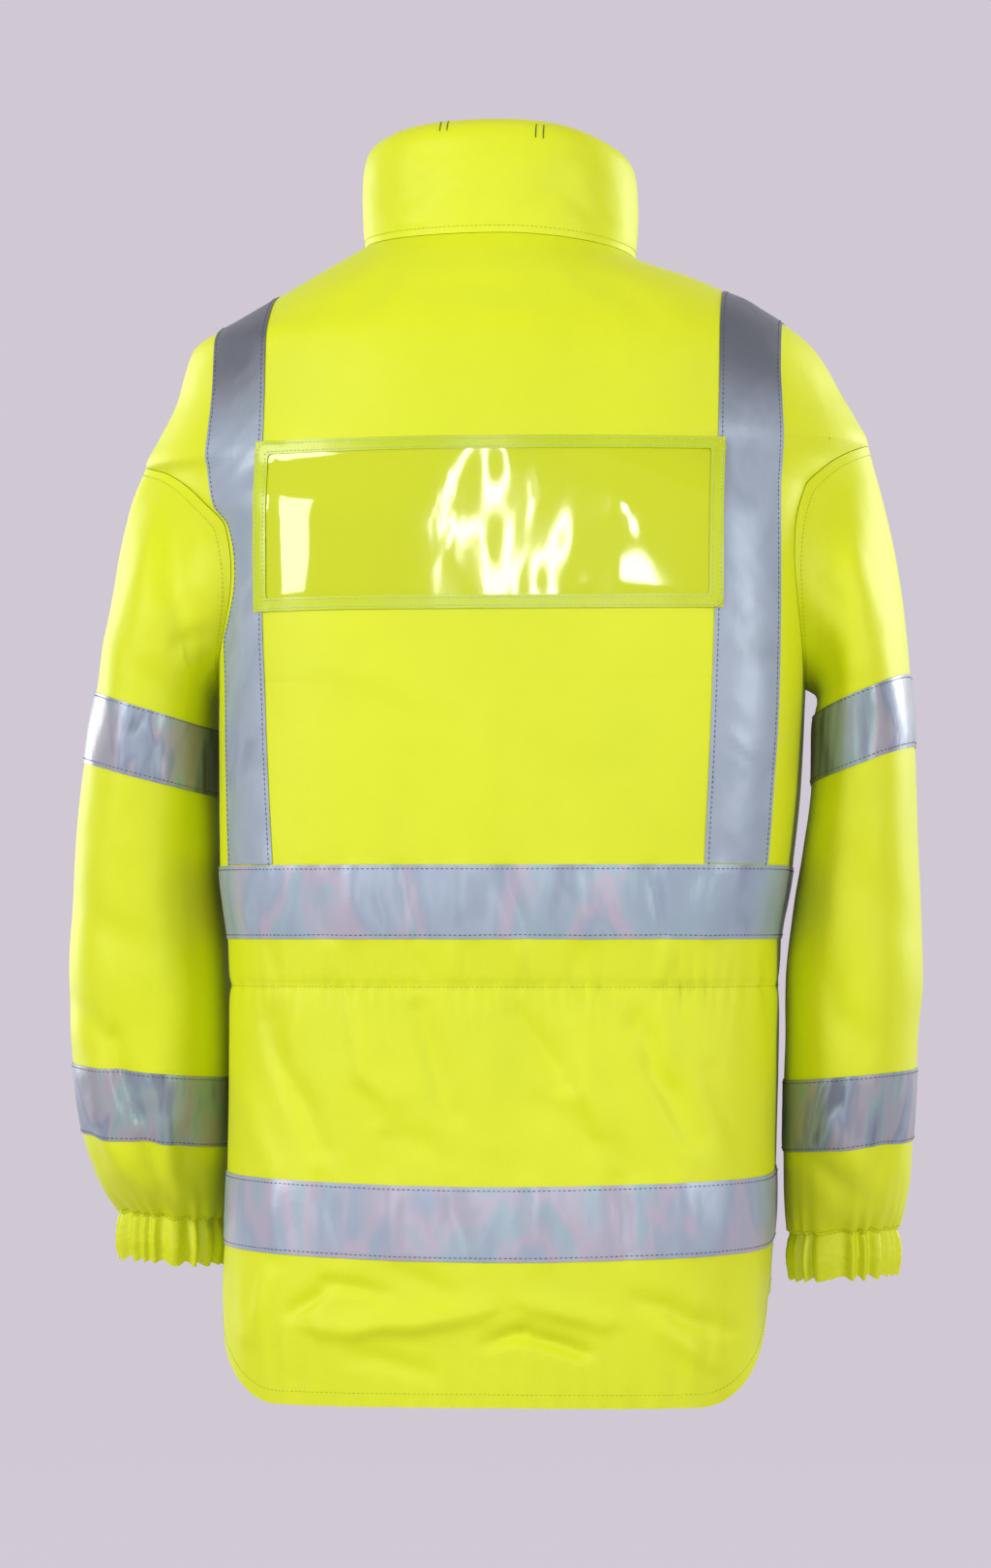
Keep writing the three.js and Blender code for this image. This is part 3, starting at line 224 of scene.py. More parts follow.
STROKES = (
    # Lower back, between the cord and the lower tape
    Stroke("back", 47, -498, 24, -567, 9.5, -4.8, 0.55),
    Stroke("back", -18, -502, -50, -547, 8.6, -4.5, 0.55),
    Stroke("back", -64, -508, -76, -590, 13.8, 4.5, 0.55),
    Stroke("back", -99, -508, -138, -583, 10.3, -5.4, 0.55),
    Stroke("back", 155, -508, 112, -590, 11.2, -4.5, 0.55),
    Stroke("back", 93, -502, 67, -573, 14.6, 3.9, 0.55),
    Stroke("back", 4, -505, -8, -585, 12, 2.4),
    Stroke("back", -120, -500, -124, -540, 6.9, 2.4),
    Stroke("back", 128, -495, 140, -545, 7.7, 2.2),
    Stroke("back", 70, -570, 30, -600, 10.3, -2.4),
    Stroke("back", -40, -560, -100, -604, 10.3, -2.7),
    Stroke("back", -150, -540, -172, -600, 7.7, -2.4),
    Stroke("back", 168, -560, 150, -604, 7.7, 2.1),
    # Channel between the waist tape and the cord
    Stroke("back", 106, -455, 101, -478, 3.9, 2.2),
    Stroke("back", 50, -452, 42, -476, 4.3, -2.1),
    Stroke("back", 24, -456, 20, -478, 4.3, 2.1),
    Stroke("back", -20, -452, -26, -478, 3.9, 2.4),
    Stroke("back", -63, -455, -60, -477, 4.3, -2.1),
    Stroke("back", -121, -453, -118, -478, 4.3, 2.4),
    Stroke("back", 150, -456, 146, -476, 4.3, -1.8),
    # Waist tape
    Stroke("back", 120, -405, 112, -446, 6, -2),
    Stroke("back", 88, -402, 92, -448, 6.9, 2.2),
    Stroke("back", 58, -404, 48, -447, 6, -2.2),
    Stroke("back", 18, -402, 10, -446, 7.7, 1.8),
    Stroke("back", -14, -404, -24, -447, 5.2, -2.8),
    Stroke("back", -62, -402, -70, -447, 6.9, 2.1),
    Stroke("back", -112, -403, -118, -447, 5.2, -3),
    Stroke("back", -150, -404, -146, -446, 6.9, 2.1),
    # Chest
    Stroke("back", 2, -300, -2, -396, 13.8, 2),
    Stroke("back", 52, -330, 60, -398, 12.9, -1.5),
    Stroke("back", -48, -320, -62, -398, 13.8, -1.5),
    Stroke("back", 110, -262, 30, -290, 10.3, 1.2),
    Stroke("back", 36, -2, -40, -4, 12, -2.4),
    Stroke("back", 70, 8, 96, -20, 10.3, -1.8),
    Stroke("back", -66, 2, -104, -22, 10.3, -1.8),
    # Lower tape
    Stroke("back", 150, -612, 142, -660, 6.9, 2),
    Stroke("back", 112, -614, 100, -662, 6.9, -2.2),
    Stroke("back", 66, -616, 60, -664, 7.7, 2.2),
    Stroke("back", 26, -616, 14, -664, 6.9, -2.2),
    Stroke("back", -30, -616, -36, -664, 8.6, 2),
    Stroke("back", -86, -614, -96, -660, 6.9, -2.4),
    Stroke("back", -130, -612, -140, -658, 7.7, 2.1),
    # Tail
    Stroke("back", 132, -704, 108, -684, 5.6, -4.5, 0.55),
    Stroke("back", 108, -684, 72, -690, 6, -3.6, 0.55),
    Stroke("back", 112, -713, 5, -704, 11.2, 5.4, 0.55),
    Stroke("back", -4, -724, -24, -715, 6, -5.4, 0.55),
    Stroke("back", -24, -715, -66, -727, 6, -6.3, 0.55),
    Stroke("back", -30, -700, -80, -708, 9.5, 3.9, 0.55),
    Stroke("back", -103, -694, -160, -716, 6.9, -4.5, 0.55),
    Stroke("back", -120, -712, -150, -735, 6, 3),
    Stroke("back", 60, -672, 30, -690, 7.7, -2.7),
    Stroke("back", 150, -680, 165, -720, 6.9, 3),
    Stroke("back", 90, -730, 40, -742, 6.9, -2.4),
    # Fronts
    Stroke("front", 60, -500, 40, -580, 11.2, -4.5, 0.55),
    Stroke("front", 120, -505, 140, -575, 12, -4.8, 0.55),
    Stroke("front", 92, -500, 96, -585, 12.9, 3.6, 0.55),
    Stroke("front", 30, -300, 40, -390, 15.5, -3),
    Stroke("front", 110, -150, 90, -240, 15.5, -3.3),
    Stroke("front", 60, -210, 50, -300, 13.8, 2.4),
    Stroke("front", 75, -672, 60, -696, 7.7, -3.3),
    Stroke("front", 130, -615, 124, -656, 6.9, 2.1),
    Stroke("front", 84, -615, 78, -656, 6.9, -2.2),
    Stroke("front", 44, -404, 40, -446, 6.9, 2),
    Stroke("front", 100, -404, 108, -446, 6.9, -2.1),
    Stroke("front", -66, -500, -50, -570, 12, -4.8, 0.55),
    Stroke("front", -125, -505, -112, -585, 11.2, -4.2, 0.55),
    Stroke("front", -96, -500, -88, -570, 12.9, 3.9, 0.55),
    Stroke("front", -36, -320, -30, -390, 13.8, 2.4),
    Stroke("front", -118, -160, -90, -250, 15.5, -3.6, 0.55),
    Stroke("front", -70, -220, -64, -290, 12.9, 2.1),
    Stroke("front", -110, -615, -104, -656, 6.9, -2.2),
    Stroke("front", -60, -404, -56, -446, 6.9, 2.1),
    Stroke("front", -110, -404, -116, -446, 6.9, -2.1),
    Stroke("front", -90, -676, -70, -696, 7.7, -3),
    # Left sleeve, seen from behind
    Stroke("left", 268, -520, 252, -575, 9, -5.6, 0.5),
    Stroke("left", 252, -575, 238, -624, 10, -5.0, 0.5),
    Stroke("left", 284, -545, 266, -606, 11, 3.8),
    Stroke("left", 229, -150, 218, -244, 16, -7.5, 0.55),
    Stroke("left", 214, -250, 196, -238, 9, -3.0),
    Stroke("left", 246, -176, 240, -250, 16, 3.4),
    Stroke("left", 250, -160, 262, -205, 12, -2.0),
    Stroke("left", 290, -430, 240, -455, 14, -3.0),
    Stroke("left", 222, -380, 214, -470, 13, -3.4),
    Stroke("left", 300, -495, 270, -518, 8, -2.6),
    Stroke("left", 262, -300, 256, -380, 14, 2.0),
    Stroke("left", 280, -262, 268, -330, 10, -1.6),
    Stroke("left", 276, -590, 246, -624, 8, 3.4),
    Stroke("left", 222, -590, 210, -628, 7, -3.4),
    Stroke("left", 234, -580, 226, -628, 7, 3.0),
    Stroke("left", 292, -560, 282, -606, 8, -2.4),
    Stroke("left", 250, -260, 206, -300, 9, -1.8),
    # Right sleeve, seen from behind
    Stroke("right", -230, -150, -234, -270, 12, -5.0),
    Stroke("right", -252, -140, -246, -262, 14, 3.2),
    Stroke("right", -262, -180, -270, -240, 12, -1.8),
    Stroke("right", -240, -400, -280, -440, 15, -3.0),
    Stroke("right", -215, -470, -250, -520, 13, -3.6),
    Stroke("right", -222, -330, -236, -400, 14, 2.2),
    Stroke("right", -262, -300, -268, -350, 10, -1.6),
    Stroke("right", -214, -600, -244, -630, 8, -3.6),
    Stroke("right", -230, -575, -258, -626, 8, 3.2),
    Stroke("right", -272, -570, -258, -628, 7, -3.4),
    Stroke("right", -284, -560, -276, -610, 8, 2.2),
    Stroke("right", -206, -420, -212, -470, 10, 2.0),
    Stroke("right", -240, -250, -222, -290, 9, -1.8),
    # The sleeves' front sides, which bend at the elbow
    Stroke("left_front", 214, -190, 224, -268, 12, -5.0),
    Stroke("left_front", 214, -400, 270, -412, 10, -4.4),
    Stroke("left_front", 216, -432, 282, -440, 12, 2.8),
    Stroke("left_front", 210, -456, 266, -470, 9, -3.8),
    Stroke("left_front", 226, -590, 240, -630, 7, -3.2),
    Stroke("left_front", 262, -570, 258, -626, 8, 3.0),
    Stroke("right_front", -224, -180, -232, -262, 12, -5.2),
    Stroke("right_front", -222, -392, -272, -410, 10, -4.2),
    Stroke("right_front", -216, -424, -280, -436, 12, 2.6),
    Stroke("right_front", -212, -452, -262, -462, 9, -4.0),
    Stroke("right_front", -226, -596, -242, -634, 7, -3.2),
    Stroke("right_front", -262, -574, -256, -630, 8, 3.0),
    # Collar, seen from behind
    Stroke("collar", 68, 62, 30, 84, 8, -1.6),
    Stroke("collar", 40, 70, -24, 74, 9, 1.2),
    Stroke("collar", -52, 66, -74, 44, 7, -2.0),
    Stroke("collar", 76, 50, 58, 44, 8, 1.2),
    Stroke("collar", -20, 52, -60, 88, 9, -1.2),
    Stroke("collar", 10, 96, 50, 92, 6, -0.9),
)


def srgb(red: float, green: float, blue: float) -> tuple[float, float, float, float]:
    """Turns screen values into a linear colour.

    Args:
        red: Red from 0 to 255.
        green: Green from 0 to 255.
        blue: Blue from 0 to 255.

    Returns:
        The linear colour with full opacity.
    """
    parts = [(c / 255 / 12.92) if c <= 10 else ((c / 255 + 0.055) / 1.055) ** 2.4 for c in (red, green, blue)]
    return (parts[0], parts[1], parts[2], 1.0)


def smooth(value: np.ndarray) -> np.ndarray:
    """Eases values from 0 to 1.

    Args:
        value: Any numbers.

    Returns:
        Numbers from 0 to 1 with level ends.
    """
    t = np.clip(value, 0, 1)
    return t * t * (3 - 2 * t)


def monotone(at: Sequence[float], value: Sequence[float]) -> Callable[[np.ndarray], np.ndarray]:
    """Makes a smooth curve through a table without overshooting it.

    Args:
        at: Sorted places.
        value: The value at each place.

    Returns:
        A function of place.
    """
    xs = np.asarray(at, float)
    ys = np.asarray(value, float)
    slope = np.diff(ys) / np.diff(xs)
    tangent = np.zeros_like(ys)
    tangent[0] = slope[0]
    tangent[-1] = slope[-1]
    same = slope[:-1] * slope[1:] > 0
    total = np.where(same, slope[:-1] + slope[1:], 1.0)
    tangent[1:-1] = np.where(same, 2 * slope[:-1] * slope[1:] / total, 0.0)

    def read(x: np.ndarray) -> np.ndarray:
        inside = np.clip(x, xs[0], xs[-1])
        i = np.clip(np.searchsorted(xs, inside, side="right") - 1, 0, len(xs) - 2)
        width = xs[i + 1] - xs[i]
        t = (inside - xs[i]) / width
        back = 1 - t
        return (ys[i] * back * back * (1 + 2 * t) + ys[i + 1] * t * t * (3 - 2 * t)
                + width * tangent[i] * t * back * back - width * tangent[i + 1] * t * t * back)

    return read


def wobble(x: np.ndarray, pitch: float, seed: float) -> np.ndarray:
    """Smooth uneven waves from -1 to 1.

    Args:
        x: Places along a line.
        pitch: Distance between the changes.
        seed: Chooses one pattern.

    Returns:
        The wave at each place.
    """
    place = np.asarray(x, float) / pitch
    cell = np.floor(place)

    def level(i: np.ndarray) -> np.ndarray:
        mixed = np.sin(i * 127.1 + seed * 311.7) * 43758.5453
        return (mixed - np.floor(mixed)) * 2 - 1

    t = smooth(place - cell)
    return level(cell) * (1 - t) + level(cell + 1) * t


def ripple(x: np.ndarray, z: np.ndarray, pitch_x: float, pitch_z: float, seed: float) -> np.ndarray:
    """Smooth uneven waves over a surface.

    Args:
        x: Places across.
        z: Places up.
        pitch_x: Distance between changes across.
        pitch_z: Distance between changes up.
        seed: Chooses one pattern.

    Returns:
        The wave at each place, from -1 to 1.
    """
    place = np.asarray(x, float) / pitch_x
    rise = np.asarray(z, float) / pitch_z
    cx = np.floor(place)
    cz = np.floor(rise)

    def level(i: np.ndarray, j: np.ndarray) -> np.ndarray:
        mixed = np.sin(i * 127.1 + j * 269.5 + seed * 311.7) * 43758.5453
        return (mixed - np.floor(mixed)) * 2 - 1

    tx = smooth(place - cx)
    tz = smooth(rise - cz)
    low = level(cx, cz) * (1 - tx) + level(cx + 1, cz) * tx
    high = level(cx, cz + 1) * (1 - tx) + level(cx + 1, cz + 1) * tx
    return low * (1 - tz) + high * tz


def strokes_on(piece: str, x: np.ndarray, z: np.ndarray) -> np.ndarray:
    """Adds up the creases of one piece.

    Args:
        piece: The name that the strokes carry.
        x: Places across.
        z: Places up.

    Returns:
        How far the cloth stands out at each place.
    """
    height = np.zeros(np.broadcast(x, z).shape)
    for stroke in STROKES:
        if stroke.on != piece:
            continue
        dx = stroke.x1 - stroke.x0
        dz = stroke.z1 - stroke.z0
        run = dx * dx + dz * dz
        t = np.clip(((x - stroke.x0) * dx + (z - stroke.z0) * dz) / run, 0, 1)
        bend = 0.35 * stroke.spread * wobble(t * math.sqrt(run) + stroke.x0, 22, stroke.z0)
        length = math.sqrt(run)
        px = stroke.x0 + dx * t + bend * dz / length
        pz = stroke.z0 + dz * t - bend * dx / length
        away = np.hypot(x - px, z - pz)
        to_right = (x - px) * dz - (z - pz) * dx > 0
        flank = np.where(to_right, stroke.spread, stroke.spread * stroke.steep)
        ends = 0.55 + 0.45 * np.sin(np.pi * np.clip(t, 0.05, 0.95))
        height += stroke.depth * ends * np.exp(-((away / flank) ** 2))
    return height


@dataclass
class Grid:
    """Rows of points on a piece, each with its outward direction."""

    points: np.ndarray
    out: np.ndarray
    closed: bool = False

    def moved(self, height: np.ndarray) -> "Grid":
        """Moves the points outwards and works the directions out again.

        Args:
            height: Distance of each point.

        Returns:
            The moved grid.
        """
        points = self.points + self.out * height[..., None]
        return Grid(points, directions(points, self.out, self.closed), self.closed)

    def rows(self, first: int, last: int) -> "Grid":
        """Cuts some rows out.

        Args:
            first: First row.
            last: Last row, taken too.

        Returns:
            The part of the grid.
        """
        return Grid(self.points[first:last + 1].copy(), self.out[first:last + 1].copy(), self.closed)


def directions(points: np.ndarray, roughly: np.ndarray, closed: bool) -> np.ndarray:
    """Works out the outward direction at every point of a grid.

    Args:
        points: Rows of points.
        roughly: A direction on the outer side at every point.
        closed: Whether the rows are rings.

    Returns:
        One unit direction for each point.
    """
    if closed:
        across = np.roll(points, -1, axis=1) - np.roll(points, 1, axis=1)
    else:
        across = np.gradient(points, axis=1)
    up = np.gradient(points, axis=0)
    out = np.cross(across, up)
    out /= np.maximum(np.linalg.norm(out, axis=2, keepdims=True), 1e-9)
    facing = np.sum(out * roughly, axis=2, keepdims=True)
    return np.where(facing < 0, -out, out)


class BodyForm:
    """The outside of the jacket's body, worked out from the tables."""

    def __init__(self) -> None:
        self.back = monotone(DEPTHS["z"], DEPTHS["back"])
        self.front = monotone(DEPTHS["z"], DEPTHS["front"])
        self.half = {}
        self.corner = {}
        for side in (LEFT, RIGHT):
            self.half[side.sign] = monotone(side.outline["z"], side.outline["half"])
            self.corner[side.sign] = monotone(side.outline["z"], side.outline["corner"])
        upper = np.arange(ARMHOLE_STEPS + YOKE_ROWS + 1)
        share = upper / (ARMHOLE_STEPS + YOKE_ROWS)
        self.row_back = np.concatenate([BODY_ROWS["back"], UNDERARM + (BACK_NECK - UNDERARM) * share])
        self.row_front = np.concatenate([BODY_ROWS["front"], UNDERARM + (FRONT_NECK - UNDERARM) * share])
        self.row_side = {}
        for side in (LEFT, RIGHT):
            middle = (side.armhole_top + UNDERARM) / 2
            reach = (side.armhole_top - UNDERARM) / 2
            loop = middle - reach * np.cos(np.pi * np.arange(ARMHOLE_STEPS + 1) / ARMHOLE_STEPS)
            self.row_side[side.sign] = np.concatenate([BODY_ROWS["side"], loop, side.yoke])
        self.underarm_row = len(BODY_ROWS["side"])
        self.neck_row = len(self.row_back) - 1

    def depth(self, face: int, z: np.ndarray) -> np.ndarray:
        """Depth of the body at some heights.

        Args:
            face: 1 for the back, -1 for the front.
            z: Heights.

        Returns:
            Distance from the middle plane.
        """
        return self.back(z) if face > 0 else self.front(z)

    def armhole_depth(self, side: SideSizes, z: np.ndarray) -> np.ndarray:
        """Depth of the armhole seam.

        Args:
            side: The side's sizes.
            z: Heights.

        Returns:
            Zero above the shoulder tip and below the underarm.
        """
        middle = (side.armhole_top + UNDERARM) / 2
        reach = (side.armhole_top - UNDERARM) / 2
        level = (z - middle) / reach
        return ARMHOLE_HALF_DEPTH * np.sqrt(np.maximum(0, 1 - level * level))

    def quarter(self, side: SideSizes, face: int, z: np.ndarray) -> tuple[np.ndarray, np.ndarray, np.ndarray]:
        """One quarter of the body's section at each height.

        Args:
            side: The side's sizes.
            face: 1 for the back, -1 for the front.
            z: Heights, in one line.

        Returns:
            Widths, depths and running lengths, one row for each height.
        """
        angle = np.linspace(0, np.pi / 2, SECTION_SAMPLES + 1)
        power = (2 / self.corner[side.sign](z))[:, None]
        x = self.half[side.sign](z)[:, None] * np.sin(angle) ** power
        y = self.depth(face, z)[:, None] * np.clip(np.cos(angle), 0, 1) ** power
        y[:, -1] = 0
        steps = np.hypot(np.diff(x, axis=1), np.diff(y, axis=1))
        length = np.concatenate([np.zeros((len(z), 1)), np.cumsum(steps, axis=1)], axis=1)
        return x, y, length

    @staticmethod
    def read(column: np.ndarray, value: np.ndarray, wanted: Sequence[np.ndarray]) -> list[np.ndarray]:
        """Reads other columns where a rising column reaches a value.

        Args:
            column: The rising column, one row for each height.
            value: The value to reach in each row.
            wanted: The columns to read.

        Returns:
            One value for each row from each wanted column.
        """
        i = np.clip(np.sum(column < value[:, None], axis=1), 1, column.shape[1] - 1)
        row = np.arange(len(value))
        low = column[row, i - 1]
        span = column[row, i] - low
        t = np.where(span > 0, np.clip((value - low) / np.where(span > 0, span, 1), 0, 1), 0)
        return [w[row, i - 1] + (w[row, i] - w[row, i - 1]) * t for w in wanted]

    def at_length(self, side: SideSizes, face: int, distance: np.ndarray, z: np.ndarray) -> np.ndarray:
        """Points at given lengths from the centre line.

        Args:
            side: The side's sizes.
            face: 1 for the back, -1 for the front.
            distance: Lengths along the section.
            z: Heights.

        Returns:
            One point for each height.
        """
        x, y, length = self.quarter(side, face, z)
        px, py = self.read(length, distance, [x, y])
        return np.stack([side.sign * px, face * py, z], axis=1)

    def surface_depth(self, side: SideSizes, face: int, x: np.ndarray, z: np.ndarray) -> np.ndarray:
        """Depth of the surface straight behind a place.

        Args:
            side: The side's sizes.
            face: 1 for the back, -1 for the front.
            x: Distances from the centre line.
            z: Heights.

        Returns:
            The distance from the middle plane.
        """
        power = self.corner[side.sign](z)
        level = np.clip(x / self.half[side.sign](z), 0, 1)
        return self.depth(face, z) * np.maximum(0, 1 - level ** power) ** (1 / power)

    def heights(self, face: int, side: SideSizes, row: np.ndarray, share: np.ndarray) -> np.ndarray:
        """Heights of the panel's rows.

        Args:
            face: 1 for the back, -1 for the front.
            side: The side's sizes.
            row: Places among the rows, fractions too.
            share: Shares of the way to the seam.

        Returns:
            The height of each grid point.
        """
        index = np.arange(len(self.row_back))
        centre = np.interp(row, index, self.row_back if face > 0 else self.row_front)[:, None]
        seam = np.interp(row, index, self.row_side[side.sign])[:, None]
        start = (HEM_RISE_START * np.clip(HEM_ROWS - row, 0, 1))[:, None]
        even = smooth((share[None, :] - start) / (1 - start))
        if face < 0:
            scooped = 1 - (1 - share[None, :]) ** 3
            even = np.where(row[:, None] >= self.underarm_row, scooped, even)
        return centre + (seam - centre) * even

    def fine_rows(self, cell: float) -> np.ndarray:
        """Places of the fine rows, with every table row among them.

        Args:
            cell: Wanted height of a cell.

        Returns:
            The places.
        """
        tall = np.maximum(np.abs(np.diff(self.row_back)), np.abs(np.diff(self.row_side[1])) * 0.8)
        parts = [np.arange(n) / n + i for i, n in enumerate(np.maximum(1, np.round(tall / cell)).astype(int))]
        return np.concatenate([*parts, [float(self.neck_row)]])

    def relief(self, face: int, x: np.ndarray, z: np.ndarray) -> np.ndarray:
        """How far the body's cloth stands out from its plain form.

        Args:
            face: 1 for the back, -1 for the front.
            x: Places across.
            z: Places up.

        Returns:
            The height at each place.
        """
        seed = 3.0 if face > 0 else 11.0
        height = strokes_on("back" if face > 0 else "front", x, z)
        phase = x / CORD_PITCH + 0.45 * wobble(x, 27, seed) + 0.02 * (z - CORD) * wobble(x, 40, seed + 1)
        strength = 0.62 + 0.38 * wobble(x, 33, seed + 2)
        below = np.where(z < CORD, 17.0, 11.0)
        reach = np.exp(-np.abs(z - CORD) / below)
        height = height + CORD_DEPTH * strength * reach * np.cos(2 * np.pi * phase)
        height = height - 1.5 * np.exp(-((z - CORD) / 3.2) ** 2) - 0.6 * np.exp(-((z - CORD) / 12) ** 2)
        hem = self.hem_line(face, x)
        curl = np.exp(-np.abs(z - hem) / 22)
        height = height + 0.8 * curl * np.cos(2 * np.pi * (x / 19 + 0.5 * wobble(x, 45, seed + 3)))
        height = height + 0.5 * ripple(x, z, 52, 74, seed + 4) + 0.22 * ripple(x, z, 19, 31, seed + 5)
        for edge in (-449.5, -399.5, -609.5, -659.5):
            near = np.exp(-np.abs(z - edge) / 5)
            height = height + 0.22 * near * np.cos(2 * np.pi * (x / 12 + 0.6 * wobble(x, 30, edge)))
        return height

    def hem_line(self, face: int, x: np.ndarray) -> np.ndarray:
        """Rough height of the hem.

        Args:
            face: 1 for the back, -1 for the front.
            x: Places across.

        Returns:
            The height at each place.
        """
        share = np.clip(np.abs(x) / 190, 0, 1)
        low = BODY_ROWS["back"][0] if face > 0 else BODY_ROWS["front"][0]
        return low + (BODY_ROWS["side"][0] - low) * smooth((share - HEM_RISE_START) / (1 - HEM_RISE_START))


FORM = BodyForm()


def half_panel(face: int, side: SideSizes, row: np.ndarray,
               share: np.ndarray) -> tuple[np.ndarray, np.ndarray]:
    """Points of one half of a body panel.

    Args:
        face: 1 for the back, -1 for the front.
        side: The side's sizes.
        row: Places of the rows.
        share: Shares of the way to the seam.

    Returns:
        The points and how much of the relief each takes.
    """
    z = FORM.heights(face, side, row, share)
    flat = z.ravel()
    x, y, length = FORM.quarter(side, face, flat)
    seam = FORM.read(-y, -FORM.armhole_depth(side, flat), [length])[0]
    start = 0.0 if face > 0 else FRONT_EDGE
    distance = start + (seam - start) * np.broadcast_to(share * SEAM_SHARE, z.shape).ravel()
    px, py = FORM.read(length, distance, [x, y])
    points = np.stack([side.sign * px, face * py, flat], axis=1).reshape(*z.shape, 3)
    fade = smooth((seam - distance) / SEAM_FADE).reshape(z.shape)
    if face < 0:
        fade = fade * smooth((distance - start) / 16).reshape(z.shape)
    neck = smooth((FORM.neck_row - row) / 0.8)[:, None]
    return points, fade * neck


def body_panel(face: int, sides: Sequence[SideSizes], cell: float) -> tuple[Grid, np.ndarray]:
    """A whole body panel with its folds.

    Args:
        face: 1 for the back, -1 for the front.
        sides: The sides that it covers, right before left.
        cell: Wanted size of a cell.

    Returns:
        The grid and the place of each row.
    """
    row = FORM.fine_rows(cell)
    share = np.linspace(0, 1, int(round(262 / cell)) + 1)
    parts = []
    fades = []
    for side in sides:
        points, fade = half_panel(face, side, row, share)
        if side.sign < 0 and len(sides) == 2:
            points = points[:, :0:-1]
            fade = fade[:, :0:-1]
        parts.append(points)
        fades.append(fade)
    points = np.concatenate(parts, axis=1)
    fade = np.concatenate(fades, axis=1)
    rough = np.zeros_like(points)
    rough[..., 0] = points[..., 0] / 190
    rough[..., 1] = points[..., 1] / 120
    rough[..., 2] = 0.15
    plain = Grid(points, directions(points, rough, False))
    height = FORM.relief(face, points[..., 0], points[..., 2]) * fade
    return plain.moved(height), row


def sleeve_grid(side: SideSizes, cell: float) -> tuple[Grid, np.ndarray]:
    """A whole sleeve from the armhole to the cuff seam, with its folds.

    Args:
        side: The side's sizes.
        cell: Wanted size of a cell.

    Returns:
        The grid and the place of each row.
    """
    columns = int(round(500 / cell / 4)) * 4
    angle = np.pi - 2 * np.pi * np.arange(columns) / columns
    middle = (side.armhole_top + UNDERARM) / 2
    reach = (side.armhole_top - UNDERARM) / 2
    loop_z = middle + reach * np.cos(angle)
    loop_y = ARMHOLE_HALF_DEPTH * np.sin(angle)
    loop_x = np.zeros(columns)
    for face in (1, -1):
        on = loop_y * face >= 0
        z = loop_z[on]
        x, y, _ = FORM.quarter(side, face, z)
        loop_x[on] = FORM.read(-y, -np.abs(loop_y[on]), [x])[0]
    loop = np.stack([side.sign * loop_x, loop_y, loop_z], axis=1)
    tip_x = float(FORM.half[side.sign](np.array([side.armhole_top]))[0])
    under_x = float(FORM.half[side.sign](np.array([UNDERARM]))[0])
    first = {"outer_x": tip_x, "outer_z": side.armhole_top, "inner_x": under_x, "inner_z": UNDERARM,
             "half": ARMHOLE_HALF_DEPTH, "middle": 0.0, "armhole": 1.0}
    count = len(side.sleeve["half"])
    column = {name: monotone(np.arange(count + 1), (first[name], *side.sleeve[name])) for name in first}
    outer_z = np.array((first["outer_z"], *side.sleeve["outer_z"]), float)
    parts = [np.arange(n) / n + i for i, n in
             enumerate(np.maximum(2, np.round(np.abs(np.diff(outer_z)) / cell)).astype(int))]
    row = np.concatenate([*parts, [float(count)]])
    row[0] = 0.012
    fullness = 2 / 2.3
    cos = np.sign(np.cos(angle)) * np.abs(np.cos(angle)) ** fullness
    sin = np.sign(np.sin(angle)) * np.abs(np.sin(angle)) ** fullness

    def section(sizes: dict[str, np.ndarray]) -> np.ndarray:
        outer = np.stack([side.sign * sizes["outer_x"], sizes["outer_z"]], axis=-1)
        inner = np.stack([side.sign * sizes["inner_x"], sizes["inner_z"]], axis=-1)
        centre = (outer + inner) / 2
        arm = (outer - inner) / 2
        flat = centre[:, None, :] + arm[:, None, :] * cos[None, :, None]
        y = sizes["middle"][:, None] + sizes["half"][:, None] * sin[None, :]
        return np.stack([flat[..., 0], y, flat[..., 1]], axis=-1)

    sizes = {name: read(row) for name, read in column.items()}
    plain_first = section({name: np.array([value]) for name, value in first.items()})[0]
    points = section(sizes) + sizes["armhole"][:, None, None] * (loop - plain_first)[None]
    centre = points.mean(axis=1, keepdims=True)
    plain = Grid(points, directions(points, points - centre, True), True)
    x = points[..., 0]
    z = points[..., 2]
    name = "left" if side.sign > 0 else "right"
    seed = 21.0 if side.sign > 0 else 31.0
    back = np.clip(plain.out[..., 1], 0, 1) ** 0.6
    front = np.clip(-plain.out[..., 1], 0, 1) ** 0.6
    height = strokes_on(name, x, z) * back + strokes_on(f"{name}_front", x, z) * front
    around = angle[None, :] * 78
    height = height + 0.6 * ripple(around, z, 46, 62, seed) + 0.25 * ripple(around, z, 17, 26, seed + 1)
    gathers = gather_wave(side, angle)[None, :]
    height = height + 1.9 * gathers * np.exp(-(count - row[:, None]) * 1.05)
    height = height - 0.5 * np.exp(-((row[:, None] - 0.0) / 0.3) ** 2)
    fade = smooth(row / 0.7)[:, None]
    return plain.moved(height * fade), row


def gather_wave(side: SideSizes, angle: np.ndarray) -> np.ndarray:
    """The uneven gathers of a cuff.

    Args:
        side: The side's sizes.
        angle: Angles round the cuff.

    Returns:
        The wave at each angle, from about -1 to 1.
    """
    share = (np.pi - angle) / (2 * np.pi)
    close = np.sin(np.pi * share)
    shift = 0.32 * np.sin(2 * np.pi * (3 * share + 0.1 * side.sign)) + 0.22 * np.sin(2 * np.pi * 7 * share)
    strength = 0.72 + 0.28 * np.sin(2 * np.pi * (5 * share + 0.3 * side.sign)) * close
    return strength * np.cos(2 * np.pi * (side.cuff_gathers * share + shift))


